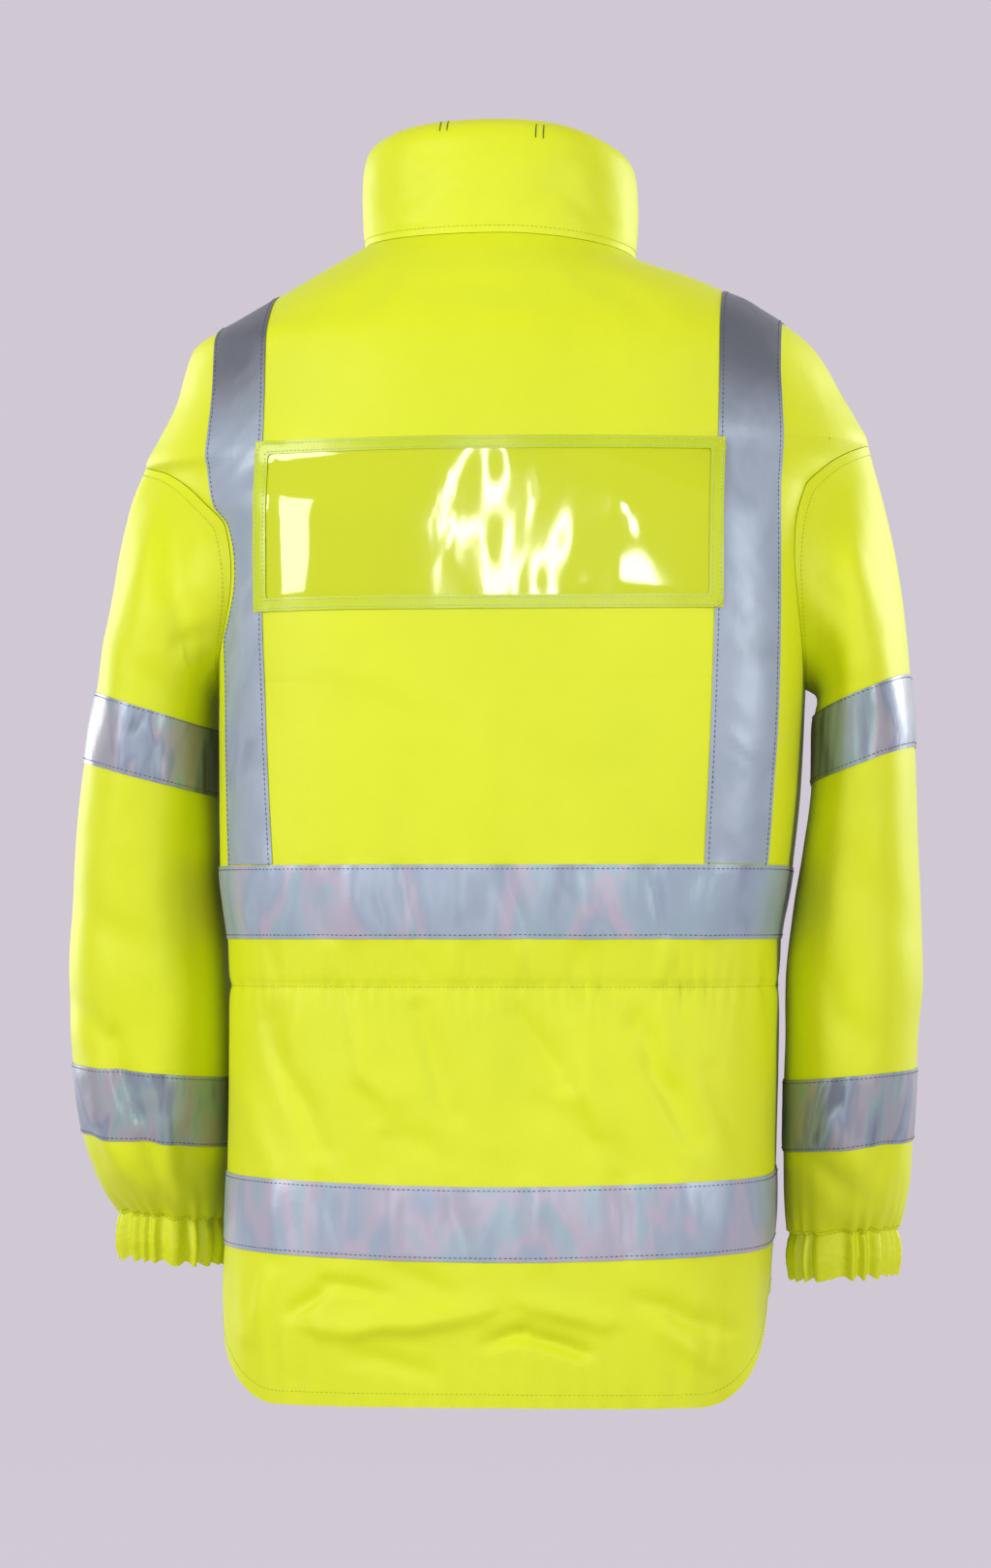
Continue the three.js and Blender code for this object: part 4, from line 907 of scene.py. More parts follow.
def cuff_grid(side: SideSizes, sleeve: Grid) -> Grid:
    """A gathered cuff below the sleeve's last ring.

    Args:
        side: The side's sizes.
        sleeve: The sleeve's grid.

    Returns:
        The cuff's grid, from the seam down.
    """
    ring = sleeve.points[-1]
    out = sleeve.out[-1]
    count = len(ring)
    fine = 300
    place = np.arange(fine) / fine * count
    low = np.floor(place).astype(int)
    part = (place - low)[:, None]
    base = ring[low % count] * (1 - part) + ring[(low + 1) % count] * part
    base_out = out[low % count] * (1 - part) + out[(low + 1) % count] * part
    angle = np.pi - 2 * np.pi * np.arange(fine) / fine
    level = base - base.mean(axis=0)
    level[:, 2] = 0
    turn = level / np.maximum(np.linalg.norm(level, axis=1, keepdims=True), 1e-9)
    drops = np.linspace(0.01, 1, 22)
    shrink = monotone((0, 0.06, 0.3, 0.6, 0.85, 1), (1, 0.93, 0.965, 0.985, 0.955, 0.93))(drops)
    wave = monotone((0, 0.08, 0.3, 0.75, 1), (0.25, 0.45, 1.0, 0.95, 0.9))(drops)
    gathers = gather_wave(side, angle)
    rows = []
    for drop, narrow, swell in zip(drops, shrink, wave):
        at = base + level * (narrow - 1)
        at[:, 2] -= drop * side.cuff_drop * (1 + 0.03 * gathers)
        blend = min(drop / 0.15, 1)
        way = base_out * (1 - blend) + turn * blend
        at = at + way * (swell * 1.8 * gathers + 0.3 * wobble(angle * 30, 3.1, drop))[:, None]
        rows.append(at)
    points = np.array(rows)
    rough = np.broadcast_to(turn, points.shape)
    return Grid(points, directions(points, rough, True), True)


def neck_line() -> tuple[np.ndarray, np.ndarray]:
    """The neck seam from the right front edge round the back to the left one.

    Returns:
        Its points and level outward directions.
    """
    row = np.array([float(FORM.neck_row)])
    front_share = np.linspace(0, 1, 46)
    back_share = np.linspace(0, 1, 58)
    right_front = half_panel(-1, RIGHT, row, front_share)[0][0]
    right_back = half_panel(1, RIGHT, row, back_share)[0][0][::-1]
    left_back = half_panel(1, LEFT, row, back_share)[0][0][1:]
    left_front = half_panel(-1, LEFT, row, front_share)[0][0][::-1]
    line = np.concatenate([right_front[:-1], right_back, left_back, left_front[1:]])
    run = np.gradient(line, axis=0)
    flat = np.stack([-run[:, 1], run[:, 0], np.zeros(len(line))], axis=1)
    flat /= np.maximum(np.linalg.norm(flat, axis=1, keepdims=True), 1e-9)
    facing = np.sum(flat * line, axis=1, keepdims=True)
    flat = np.where(facing < 0, -flat, flat)
    kernel = np.ones(9) / 9
    padded = np.concatenate([np.repeat(flat[:1], 4, axis=0), flat, np.repeat(flat[-1:], 4, axis=0)])
    flat = np.stack([np.convolve(padded[:, i], kernel, mode="valid") for i in range(3)], axis=1)
    return line, flat / np.linalg.norm(flat, axis=1, keepdims=True)


def collar_grid() -> Grid:
    """The stand collar with its rolled top edge.

    Returns:
        The grid from the neck seam up.
    """
    line, flat = neck_line()
    share = np.linspace(0.004, 1, 34)
    offset = monotone(COLLAR_PROFILE["share"], COLLAR_PROFILE["out"])(share)
    backness = flat[:, 1]
    full = np.where(backness > 0, COLLAR_HEIGHT["back"], COLLAR_HEIGHT["front"])
    height = COLLAR_HEIGHT["side"] + (full - COLLAR_HEIGHT["side"]) * backness ** 2
    points = line[None] + flat[None] * offset[:, None, None]
    points = points.copy()
    points[..., 2] += height[None] * share[:, None]
    rough = np.broadcast_to(flat, points.shape) + np.array([0, 0, 0.2])
    plain = Grid(points, directions(points, rough, False))
    x = points[..., 0]
    z = points[..., 2]
    seen = np.clip(backness, 0, 1)[None] ** 0.5
    height = strokes_on("collar", x, z) * seen
    around = np.cumsum(np.linalg.norm(np.diff(line, axis=0, prepend=line[:1]), axis=1))[None]
    height = height + 0.7 * ripple(around, z, 38, 30, 41) + 0.3 * ripple(around, z, 14, 12, 42)
    height = height + 1.2 * np.sin(np.pi * share)[:, None] ** 0.5
    fade = (smooth(share / 0.12) * smooth((1.02 - share) / 0.12))[:, None]
    fade = fade * smooth(np.minimum(around, around[:, -1:] - around) / 8)
    return plain.moved(height * fade)


def brace_grid(side: SideSizes) -> Grid:
    """One brace strip, up the back, over the shoulder and down the front.

    Args:
        side: The side's sizes.

    Returns:
        The grid, laid on the body's plain form.
    """
    edge = monotone(BRACE_EDGE["z"], BRACE_EDGE["x"])
    columns = np.linspace(0, 1, 15)

    def straight(face: int, z: np.ndarray) -> np.ndarray:
        x, y, length = FORM.quarter(side, face, z)
        start = FORM.read(x, edge(z), [length])[0]
        seam = FORM.read(-y, -FORM.armhole_depth(side, z), [length])[0]
        width = np.minimum(TAPE_WIDTH, seam - BRACE_CLEAR - start)
        rows = [FORM.at_length(side, face, start + width * q, z) for q in columns]
        return np.stack(rows, axis=1)

    def turn(face: int) -> np.ndarray:
        base = straight(face, np.array([BRACE_TURN]))[0]
        x = np.abs(base[:, 0])
        z = np.linspace(-50, 37, 400)
        halves = FORM.half[side.sign](z)
        top = np.interp(-x, -halves, z)
        rows = []
        for angle in np.linspace(0, np.pi / 2, 22)[1:]:
            level = BRACE_TURN + (top - BRACE_TURN) * math.sin(angle)
            y = FORM.surface_depth(side, face, x, level)
            if angle > 1.57:
                y = np.zeros_like(y)
            rows.append(np.stack([side.sign * x, face * y, level], axis=1))
        return np.array(rows)

    heights = np.linspace(BRACE_FOOT, BRACE_TURN, 92)
    back = np.concatenate([straight(1, heights), turn(1)])
    front = np.concatenate([straight(-1, heights), turn(-1)])
    back[-1] = (back[-1] + front[-1]) / 2
    points = np.concatenate([back, front[:-1][::-1]])
    rough = np.stack([side.sign * np.full(points.shape[:2], 0.3), points[..., 1] / 100,
                      np.full(points.shape[:2], 0.5)], axis=-1)
    plain = Grid(points, directions(points, rough, False))
    height = np.where(points[..., 1] > 0, FORM.relief(1, points[..., 0], points[..., 2]),
                      FORM.relief(-1, points[..., 0], points[..., 2]))
    height = height * smooth((-40 - points[..., 2]) / 30)
    return plain.moved(height)


def lay_on(grid: Grid, trees: Sequence[BVHTree], clear: float) -> Grid:
    """Lifts a grid so that every point stays clear of the pieces below it.

    Args:
        grid: The grid to lay, in millimetres.
        trees: Search trees of the pieces below, in metres.
        clear: The least distance to keep.

    Returns:
        The laid grid.
    """
    rows, columns = grid.points.shape[:2]
    lift = np.zeros((rows, columns))
    reach = 25.0
    for r in range(rows):
        for c in range(columns):
            out = Vector(grid.out[r, c])
            start = Vector(grid.points[r, c]) + out * reach
            nearest = 1e9
            for tree in trees:
                hit = tree.ray_cast(start * MM, -out, 0.04)
                if hit[0] is not None:
                    nearest = min(nearest, hit[3] / MM)
            if nearest < 1e8:
                lift[r, c] = clear - (nearest - reach)
    for _ in range(2):
        padded = np.pad(lift, 1, mode="edge")
        wide = np.max([padded[i:i + rows, j:j + columns] for i in range(3) for j in range(3)], axis=0)
        lift = np.maximum(lift, wide * 0.5 + lift * 0.5)
    return grid.moved(lift)


def window_grid() -> Grid:
    """The clear window's sheet, laid on the back's plain form.

    Returns:
        The grid from the bottom edge up.
    """
    x = np.linspace(-WINDOW_HALF, WINDOW_HALF, 112)
    z = np.linspace(WINDOW_BOTTOM, WINDOW_TOP, 44)
    px, pz = np.meshgrid(x, z)
    y = np.where(px < 0, FORM.surface_depth(RIGHT, 1, np.abs(px), pz), FORM.surface_depth(LEFT, 1, px, pz))
    points = np.stack([px, y, pz], axis=-1)
    rough = np.zeros_like(points)
    rough[..., 1] = 1
    plain = Grid(points, directions(points, rough, False))
    return plain.moved(FORM.relief(1, px, pz))


def border_grid() -> Grid:
    """The window's sewn border, as rings with rounded corners.

    Returns:
        The grid from the outer edge in.
    """
    loops = []
    for inset in np.linspace(0, WINDOW_BORDER, 6):
        half = WINDOW_HALF - inset
        top = WINDOW_TOP - inset
        bottom = WINDOW_BOTTOM + inset
        radius = max(7.0 - inset, 0.6)
        loop = []
        corners = ((half, bottom, -90), (half, top, 0), (-half, top, 90), (-half, bottom, 180))
        for cx, cz, start in corners:
            ox = cx - math.copysign(radius, cx)
            oz = cz + (radius if cz == bottom else -radius)
            for step in range(7):
                turn = math.radians(start + 15 * step)
                loop.append((ox + radius * math.cos(turn), oz + radius * math.sin(turn)))
        closed = np.array([*loop, loop[0]])
        run = np.concatenate([[0], np.cumsum(np.hypot(*np.diff(closed, axis=0).T))])
        even = np.linspace(0, run[-1], 241)[:-1]
        loops.append(np.stack([np.interp(even, run, closed[:, i]) for i in range(2)], axis=1))
    flat = np.array(loops)
    px = flat[..., 0]
    pz = flat[..., 1]
    y = np.where(px < 0, FORM.surface_depth(RIGHT, 1, np.abs(px), pz),
                 FORM.surface_depth(LEFT, 1, np.abs(px), pz))
    points = np.stack([px, y, pz], axis=-1)
    rough = np.zeros_like(points)
    rough[..., 1] = 1
    plain = Grid(points, directions(points, rough, True), True)
    return plain.moved(FORM.relief(1, px, pz))


def make_object(name: str, vertices: np.ndarray, faces: Sequence[Sequence[int]]) -> bpy.types.Object:
    """Makes an object at the origin.

    Args:
        name: The object's name.
        vertices: Points in millimetres.
        faces: Vertex numbers of each face.

    Returns:
        The object, linked to the scene.
    """
    mesh = bpy.data.meshes.new(name)
    mesh.from_pydata((np.asarray(vertices) * MM).tolist(), [], faces)
    mesh.update()
    thing = bpy.data.objects.new(name, mesh)
    bpy.context.scene.collection.objects.link(thing)
    return thing


def shell(name: str, grid: Grid, near: float, far: float) -> bpy.types.Object:
    """Makes a closed cloth wall between two distances from a grid, with a flat pattern for its weave.

    Args:
        name: The object's name.
        grid: Rows of points.
        near: Distance of the inner layer.
        far: Distance of the outer layer.

    Returns:
        The object.
    """
    rows, columns = grid.points.shape[:2]
    outer = (grid.points + grid.out * far).reshape(-1, 3)
    inner = (grid.points + grid.out * near).reshape(-1, 3)
    cells = columns if grid.closed else columns - 1
    r = np.arange(rows - 1)[:, None]
    c = np.arange(cells)[None, :]
    n = (c + 1) % columns
    low = r * columns
    high = low + columns
    quads = np.stack([low + c, low + n, high + n, high + c], axis=-1).reshape(-1, 4)
    a, b, _, d = (outer[quads[:, i]] for i in range(4))
    facing = np.sum(np.cross(b - a, d - a) * grid.out.reshape(-1, 3)[quads[:, 0]])
    if facing < 0:
        quads = quads[:, ::-1]
    total = rows * columns
    loops = [quads, quads[:, ::-1] + total]
    flip = facing < 0

    def rim(first: np.ndarray, second: np.ndarray) -> np.ndarray:
        side = np.stack([first, first + total, second + total, second], axis=-1)
        return side[:, ::-1] if flip else side

    col = np.arange(cells)
    nxt = (col + 1) % columns
    loops.append(rim(col, nxt))
    top = (rows - 1) * columns
    loops.append(rim(top + nxt, top + col))
    if not grid.closed:
        line = np.arange(rows - 1) * columns
        loops.append(rim(line + columns, line))
        loops.append(rim(line + columns - 1, line + 2 * columns - 1))
    faces = np.concatenate(loops)
    thing = make_object(name, np.concatenate([outer, inner]), faces.tolist())
    mesh = thing.data
    mesh.polygons.foreach_set("use_smooth", np.ones(len(mesh.polygons), bool))
    edge_of = np.zeros(2 * total, bool)
    flags = np.zeros((rows, columns), bool)
    flags[0] = True
    flags[-1] = True
    if not grid.closed:
        flags[:, 0] = True
        flags[:, -1] = True
    edge_of[:total] = flags.ravel()
    edge_of[total:] = flags.ravel()
    pairs = np.zeros(len(mesh.edges) * 2, np.int64)
    mesh.edges.foreach_get("vertices", pairs)
    pairs = pairs.reshape(-1, 2)
    same_layer = (pairs[:, 0] < total) == (pairs[:, 1] < total)
    sharp = edge_of[pairs[:, 0]] & edge_of[pairs[:, 1]] & same_layer
    mesh.attributes.new("sharp_edge", "BOOLEAN", "EDGE").data.foreach_set("value", sharp)
    across = np.linalg.norm(np.diff(grid.points, axis=1), axis=2)
    u = np.concatenate([np.zeros((rows, 1)), np.cumsum(across, axis=1)], axis=1)
    up = np.linalg.norm(np.diff(grid.points, axis=0), axis=2)
    v = np.concatenate([np.zeros((1, columns)), np.cumsum(up, axis=0)], axis=0)
    if not grid.closed:
        u = u - u[:, columns // 2][:, None]
    corner = np.zeros(len(mesh.loops), np.int64)
    mesh.loops.foreach_get("vertex_index", corner)
    flat_u = u.ravel()[corner % total]
    flat_v = v.ravel()[corner % total]
    if grid.closed:
        starts = np.zeros(len(mesh.polygons), np.int64)
        mesh.polygons.foreach_get("loop_start", starts)
        by_face = flat_u.reshape(-1, 4)
        wide = by_face.max(axis=1, keepdims=True) - by_face.min(axis=1, keepdims=True)
        step = u[0, -1] / max(columns - 1, 1)
        by_face = np.where((wide > step * columns / 2) & (by_face < step), u[0, -1] + step, by_face)
        flat_u = by_face.ravel()
    layer = mesh.uv_layers.new(name="flat")
    layer.data.foreach_set("uv", (np.stack([flat_u, flat_v], axis=1) * MM).ravel())
    return thing


def tree_of(thing: bpy.types.Object) -> BVHTree:
    """Makes a search tree of an object's mesh.

    Args:
        thing: The object.

    Returns:
        The tree, in metres.
    """
    mesh = thing.data
    return BVHTree.FromPolygons([v.co[:] for v in mesh.vertices], [p.vertices[:] for p in mesh.polygons])


class Weave(Enum):
    """How a finish's surface is made."""

    OXFORD = "oxford"
    KNIT = "knit"
    PLAIN = "plain"


@dataclass(frozen=True)
class ClothFinish:
    """A coated cloth with a weave."""

    name: str
    light: tuple[float, float, float, float]
    dark: tuple[float, float, float, float]
    roughness: float
    sheen: float
    weave: Weave
    pitch: float
    wrinkle: float


@dataclass(frozen=True)
class TapeFinish:
    """A reflective tape whose colour shifts in patches."""

    name: str
    colours: tuple[tuple[float, float, float, float], ...]
    roughness: float
    metallic: float
    stretch: tuple[float, float, float]
    contrast: float
    # Whether the tape gets painted shade towards its top, over the shoulder
    painted_top_shade: bool = False


HI_VIS = ClothFinish("hi_vis_cloth", srgb(226, 238, 4), srgb(220, 233, 0), 0.5, 0.05, Weave.OXFORD, 0.9, 1.0)
CUFF_CLOTH = ClothFinish("hi_vis_cuff", srgb(224, 234, 4), srgb(217, 228, 0), 0.52, 0.05, Weave.OXFORD,
                         0.9, 1.2)
BORDER_FINISH = ClothFinish("window_edge", srgb(206, 222, 44), srgb(192, 212, 20), 0.25, 0.0, Weave.PLAIN,
                            2.0, 0.5)
ZIP_CLOTH = ClothFinish("zip_cloth", srgb(206, 218, 30), srgb(190, 204, 20), 0.7, 0.2, Weave.KNIT, 0.8, 0.3)
BAND_TAPE = TapeFinish(
    "reflective_band",
    (srgb(136, 150, 166), srgb(152, 168, 184), srgb(156, 178, 188), srgb(180, 174, 188), srgb(156, 171, 187),
     srgb(163, 180, 194), srgb(146, 158, 172)),
    0.36, 0.12, (15.0, 10.0, 6.0), 0.8)
SLEEVE_TAPE = TapeFinish(
    "reflective_sleeve",
    (srgb(98, 106, 122), srgb(132, 142, 160), srgb(146, 168, 168), srgb(166, 160, 168), srgb(134, 146, 164),
     srgb(150, 166, 178), srgb(112, 120, 136)),
    0.34, 0.2, (26.0, 22.0, 8.0), 1.0)
# The brace tape gets painted shade towards its top, over the shoulder
BRACE_TAPE = TapeFinish(
    "reflective_brace",
    (srgb(146, 160, 172), srgb(162, 176, 188), srgb(154, 169, 182), srgb(166, 180, 193), srgb(152, 166, 180)),
    0.4, 0.15, (12.0, 10.0, 9.0), 0.5, True)


class Paint:
    """Makes the jacket's materials, all from nodes."""

    def __init__(self) -> None:
        self.made: dict[str, bpy.types.Material] = {}

    @staticmethod
    def start(name: str) -> tuple[bpy.types.Material, bpy.types.NodeTree, bpy.types.Node]:
        """Starts a material with its shader.

        Args:
            name: The material's name.

        Returns:
            The material, its tree and its main shader.
        """
        material = bpy.data.materials.new(name)
        material.use_nodes = True
        tree = material.node_tree
        return material, tree, tree.nodes["Principled BSDF"]

    @staticmethod
    def noise(tree: bpy.types.NodeTree, scale: Sequence[float], detail: float,
              rough: float = 0.5) -> bpy.types.Node:
        """A noise in object space with its own stretch.

        Args:
            tree: The material's tree.
            scale: Stretch along each axis.
            detail: Number of finer layers.
            rough: Strength of the finer layers.

        Returns:
            The noise node.
        """
        coordinates = tree.nodes.new("ShaderNodeTexCoord")
        mapping = tree.nodes.new("ShaderNodeMapping")
        mapping.inputs["Scale"].default_value = scale
        tree.links.new(coordinates.outputs["Object"], mapping.inputs["Vector"])
        noise = tree.nodes.new("ShaderNodeTexNoise")
        noise.inputs["Scale"].default_value = 1.0
        noise.inputs["Detail"].default_value = detail
        noise.inputs["Roughness"].default_value = rough
        tree.links.new(mapping.outputs["Vector"], noise.inputs["Vector"])
        return noise

    @staticmethod
    def bump(tree: bpy.types.NodeTree, height: bpy.types.NodeSocket, distance: float, strength: float,
             under: bpy.types.Node | None = None) -> bpy.types.Node:
        """A bump, on top of another where one is given.

        Args:
            tree: The material's tree.
            height: The height to read.
            distance: Its size in metres.
            strength: How much of it is used.
            under: A bump below this one.

        Returns:
            The bump node.
        """
        node = tree.nodes.new("ShaderNodeBump")
        node.inputs["Distance"].default_value = distance
        node.inputs["Strength"].default_value = strength
        tree.links.new(height, node.inputs["Height"])
        if under is not None:
            tree.links.new(under.outputs["Normal"], node.inputs["Normal"])
        return node

    @staticmethod
    def threads(tree: bpy.types.NodeTree, pitch: float) -> bpy.types.NodeSocket:
        """A woven height from the flat pattern.

        Args:
            tree: The material's tree.
            pitch: Distance between threads in millimetres.

        Returns:
            The height socket.
        """
        flat = tree.nodes.new("ShaderNodeUVMap")
        flat.uv_map = "flat"
        waves = []
        for direction in ("X", "Y"):
            wave = tree.nodes.new("ShaderNodeTexWave")
            wave.bands_direction = direction
            wave.inputs["Scale"].default_value = 0.314 / (pitch * MM)
            wave.inputs["Distortion"].default_value = 0.6
            tree.links.new(flat.outputs["UV"], wave.inputs["Vector"])
            waves.append(wave)
        most = tree.nodes.new("ShaderNodeMath")
        most.operation = "MAXIMUM"
        tree.links.new(waves[0].outputs["Fac"], most.inputs[0])
        tree.links.new(waves[1].outputs["Fac"], most.inputs[1])
        return most.outputs[0]

    def cloth(self, finish: ClothFinish) -> bpy.types.Material:
        """A coated woven cloth.

        Args:
            finish: Its colours and surface.

        Returns:
            The material.
        """
        if finish.name in self.made:
            return self.made[finish.name]
        material, tree, shader = self.start(finish.name)
        patches = self.noise(tree, (7, 7, 7), 4)
        ramp = tree.nodes.new("ShaderNodeValToRGB")
        ramp.color_ramp.elements[0].position = 0.35
        ramp.color_ramp.elements[0].color = finish.dark
        ramp.color_ramp.elements[1].position = 0.62
        ramp.color_ramp.elements[1].color = finish.light
        tree.links.new(patches.outputs["Fac"], ramp.inputs["Fac"])
        tree.links.new(ramp.outputs["Color"], shader.inputs["Base Color"])
        shader.inputs["Roughness"].default_value = finish.roughness
        shader.inputs["Sheen Weight"].default_value = finish.sheen
        shader.inputs["Sheen Roughness"].default_value = 0.4
        shader.inputs["Specular IOR Level"].default_value = 0.36
        wrinkles = self.noise(tree, (34, 34, 26), 5, 0.55)
        soft = self.bump(tree, wrinkles.outputs["Fac"], 0.0016 * finish.wrinkle, 0.55)
        last = soft
        if finish.weave is not Weave.PLAIN:
            last = self.bump(tree, self.threads(tree, finish.pitch), 0.00007, 0.5, soft)
        tree.links.new(last.outputs["Normal"], shader.inputs["Normal"])
        self.made[finish.name] = material
        return material

    def tape(self, finish: TapeFinish) -> bpy.types.Material:
        """A reflective tape with shifting colour and fine beads.

        Args:
            finish: Its colours and surface.

        Returns:
            The material.
        """
        if finish.name in self.made:
            return self.made[finish.name]
        material, tree, shader = self.start(finish.name)
        patches = self.noise(tree, finish.stretch, 3, 0.6)
        patches.inputs["Distortion"].default_value = 0.5
        ramp = tree.nodes.new("ShaderNodeValToRGB")
        elements = ramp.color_ramp.elements
        while len(elements) < len(finish.colours):
            elements.new(0.5)
        for i, colour in enumerate(finish.colours):
            elements[i].position = 0.3 + 0.4 * i / (len(finish.colours) - 1)
            elements[i].color = colour
        tree.links.new(patches.outputs["Fac"], ramp.inputs["Fac"])
        colour = ramp.outputs["Color"]
        # Painted shade: the tape is darker towards its top
        if finish.painted_top_shade:
            colour = self.paint_top_shade(tree, colour)
        tree.links.new(colour, shader.inputs["Base Color"])
        shader.inputs["Roughness"].default_value = finish.roughness
        shader.inputs["Metallic"].default_value = finish.metallic
        shader.inputs["Specular IOR Level"].default_value = 0.5
        wrinkles = self.noise(tree, (60, 60, 34), 4, 0.55)
        soft = self.bump(tree, wrinkles.outputs["Fac"], 0.0011 * (0.6 + 0.4 * finish.contrast), 0.6)
        beads = self.noise(tree, (1500, 1500, 1500), 1)
        fine = self.bump(tree, beads.outputs["Fac"], 0.00006, 0.5, soft)
        tree.links.new(fine.outputs["Normal"], shader.inputs["Normal"])
        self.made[finish.name] = material
        return material

    @staticmethod
    def paint_top_shade(tree: bpy.types.NodeTree, colour: bpy.types.NodeSocket) -> bpy.types.NodeSocket:
        """Paints shade on a tape towards its top, where it turns over the shoulder and throws the light away.

        Args:
            tree: The material's tree.
            colour: The tape's own colour.

        Returns:
            The colour with the painted shade mixed in.
        """
        coordinates = tree.nodes.new("ShaderNodeTexCoord")
        parts = tree.nodes.new("ShaderNodeSeparateXYZ")
        tree.links.new(coordinates.outputs["Object"], parts.inputs["Vector"])
        rise = tree.nodes.new("ShaderNodeMapRange")
        rise.interpolation_type = "SMOOTHSTEP"
        rise.inputs["From Min"].default_value = -0.12
        rise.inputs["From Max"].default_value = -0.05
        rise.inputs["To Max"].default_value = 0.86
        tree.links.new(parts.outputs["Z"], rise.inputs["Value"])
        mix = tree.nodes.new("ShaderNodeMix")
        mix.data_type = "RGBA"
        # The colour of the painted shade
        mix.inputs["B"].default_value = srgb(84, 87, 93)
        tree.links.new(rise.outputs["Result"], mix.inputs["Factor"])
        tree.links.new(colour, mix.inputs["A"])
        return mix.outputs["Result"]

    def clear(self) -> bpy.types.Material:
        """The clear soft plastic of the window.

        Returns:
            The material.
        """
        material, tree, shader = self.start("clear_plastic")
        shader.inputs["Base Color"].default_value = srgb(229, 242, 10)
        shader.inputs["Roughness"].default_value = 0.07
        shader.inputs["IOR"].default_value = 1.7
        shader.inputs["Alpha"].default_value = 0.7
        dents = self.noise(tree, (26, 26, 11), 2, 0.45)
        dents.inputs["Distortion"].default_value = 0.9
        soft = self.bump(tree, dents.outputs["Fac"], 0.00032, 0.6)
        tree.links.new(soft.outputs["Normal"], shader.inputs["Normal"])
        return material

    def thread(self, name: str, colour: tuple[float, float, float, float]) -> bpy.types.Material:
        """A twisted sewing thread.

        Args:
            name: The material's name.
            colour: The thread's colour.

        Returns:
            The material.
        """
        material, tree, shader = self.start(name)
        fleck = self.noise(tree, (900, 900, 900), 1)
        ramp = tree.nodes.new("ShaderNodeValToRGB")
        ramp.color_ramp.elements[0].color = (colour[0] * 0.75, colour[1] * 0.75, colour[2] * 0.75, 1)
        ramp.color_ramp.elements[1].color = colour
        tree.links.new(fleck.outputs["Fac"], ramp.inputs["Fac"])
        tree.links.new(ramp.outputs["Color"], shader.inputs["Base Color"])
        shader.inputs["Roughness"].default_value = 0.7
        twist = self.bump(tree, fleck.outputs["Fac"], 0.0001, 0.6)
        tree.links.new(twist.outputs["Normal"], shader.inputs["Normal"])
        return material

    def metal(self) -> bpy.types.Material:
        """The dull metal of the slider and its tab.

        Returns:
            The material.
        """
        material, tree, shader = self.start("zip_metal_worn")
        wear = self.noise(tree, (300, 300, 60), 4)
        ramp = tree.nodes.new("ShaderNodeValToRGB")
        ramp.color_ramp.elements[0].color = (0.2, 0.21, 0.22, 1)
        ramp.color_ramp.elements[1].color = (0.46, 0.48, 0.5, 1)
        tree.links.new(wear.outputs["Fac"], ramp.inputs["Fac"])
        tree.links.new(ramp.outputs["Color"], shader.inputs["Base Color"])
        shader.inputs["Metallic"].default_value = 0.9
        shader.inputs["Roughness"].default_value = 0.38
        brushed = self.bump(tree, wear.outputs["Fac"], 0.0001, 0.3)
        tree.links.new(brushed.outputs["Normal"], shader.inputs["Normal"])
        return material


PAINT = Paint()


@dataclass(frozen=True)
class Cut:
    """The flat size that a piece was cut to, and how it is held."""

    width: float
    length: float
    area: float | None
    held: str


def dress(thing: bpy.types.Object, node: str, material: bpy.types.Material) -> bpy.types.Object:
    """Gives a cloth piece its finish and its body, and hides the solid that it stands for.

    Args:
        thing: The piece.
        node: The solid that it stands for.
        material: Its material.

    Returns:
        The piece.
    """
    thing.data.materials.append(material)
    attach(thing, "jacket")
    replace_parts(thing, node)
    return thing


@dataclass
class StitchRun:
    """Lines of stitches in one thread."""

    name: str
    material: bpy.types.Material
    slot: str
    pitch: float
    length: float
    radius: float
    seed: int
    lines: list[tuple[np.ndarray, np.ndarray]] = field(default_factory=list)

    def add(self, points: np.ndarray, out: np.ndarray, lift: float) -> None:
        """Adds one line.

        Args:
            points: Its points in millimetres.
            out: The outward direction at each point.
            lift: How far it lies above the points.
        """
        self.lines.append((points + out * lift, out))

    def build(self, body: str = "jacket") -> bpy.types.Object:
        """Makes all stitches as one mesh.

        Args:
            body: The body that they ride on.

        Returns:
            The object.
        """
        points = np.concatenate([line for line, _ in self.lines])
        outs = np.concatenate([out for _, out in self.lines])
        edges = []
        start = 0
        for line, _ in self.lines:
            edges += [(start + i, start + i + 1) for i in range(len(line) - 1)]
            start += len(line)
        mesh = bpy.data.meshes.new(self.name)
        mesh.from_pydata((points * MM).tolist(), edges, [])
        mesh.attributes.new("out", "FLOAT_VECTOR", "POINT").data.foreach_set("vector", outs.ravel())
        thing = bpy.data.objects.new(self.name, mesh)
        bpy.context.scene.collection.objects.link(thing)
        group = stitch_nodes()
        modifier = thing.modifiers.new("stitches", "NODES")
        modifier.node_group = group
        named = {item.name: item.identifier for item in group.interface.items_tree
                 if item.item_type == "SOCKET" and item.in_out == "INPUT"}
        modifier[named["Pitch"]] = self.pitch * MM
        modifier[named["Length"]] = self.length * MM
        modifier[named["Radius"]] = self.radius * MM
        modifier[named["Seed"]] = self.seed
        modifier[named["Thread"]] = self.material
        bpy.context.view_layer.update()
        done = thing.evaluated_get(bpy.context.evaluated_depsgraph_get())
        made = bpy.data.meshes.new_from_object(done)
        thing.modifiers.clear()
        thing.data = made
        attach(thing, body)
        return thing


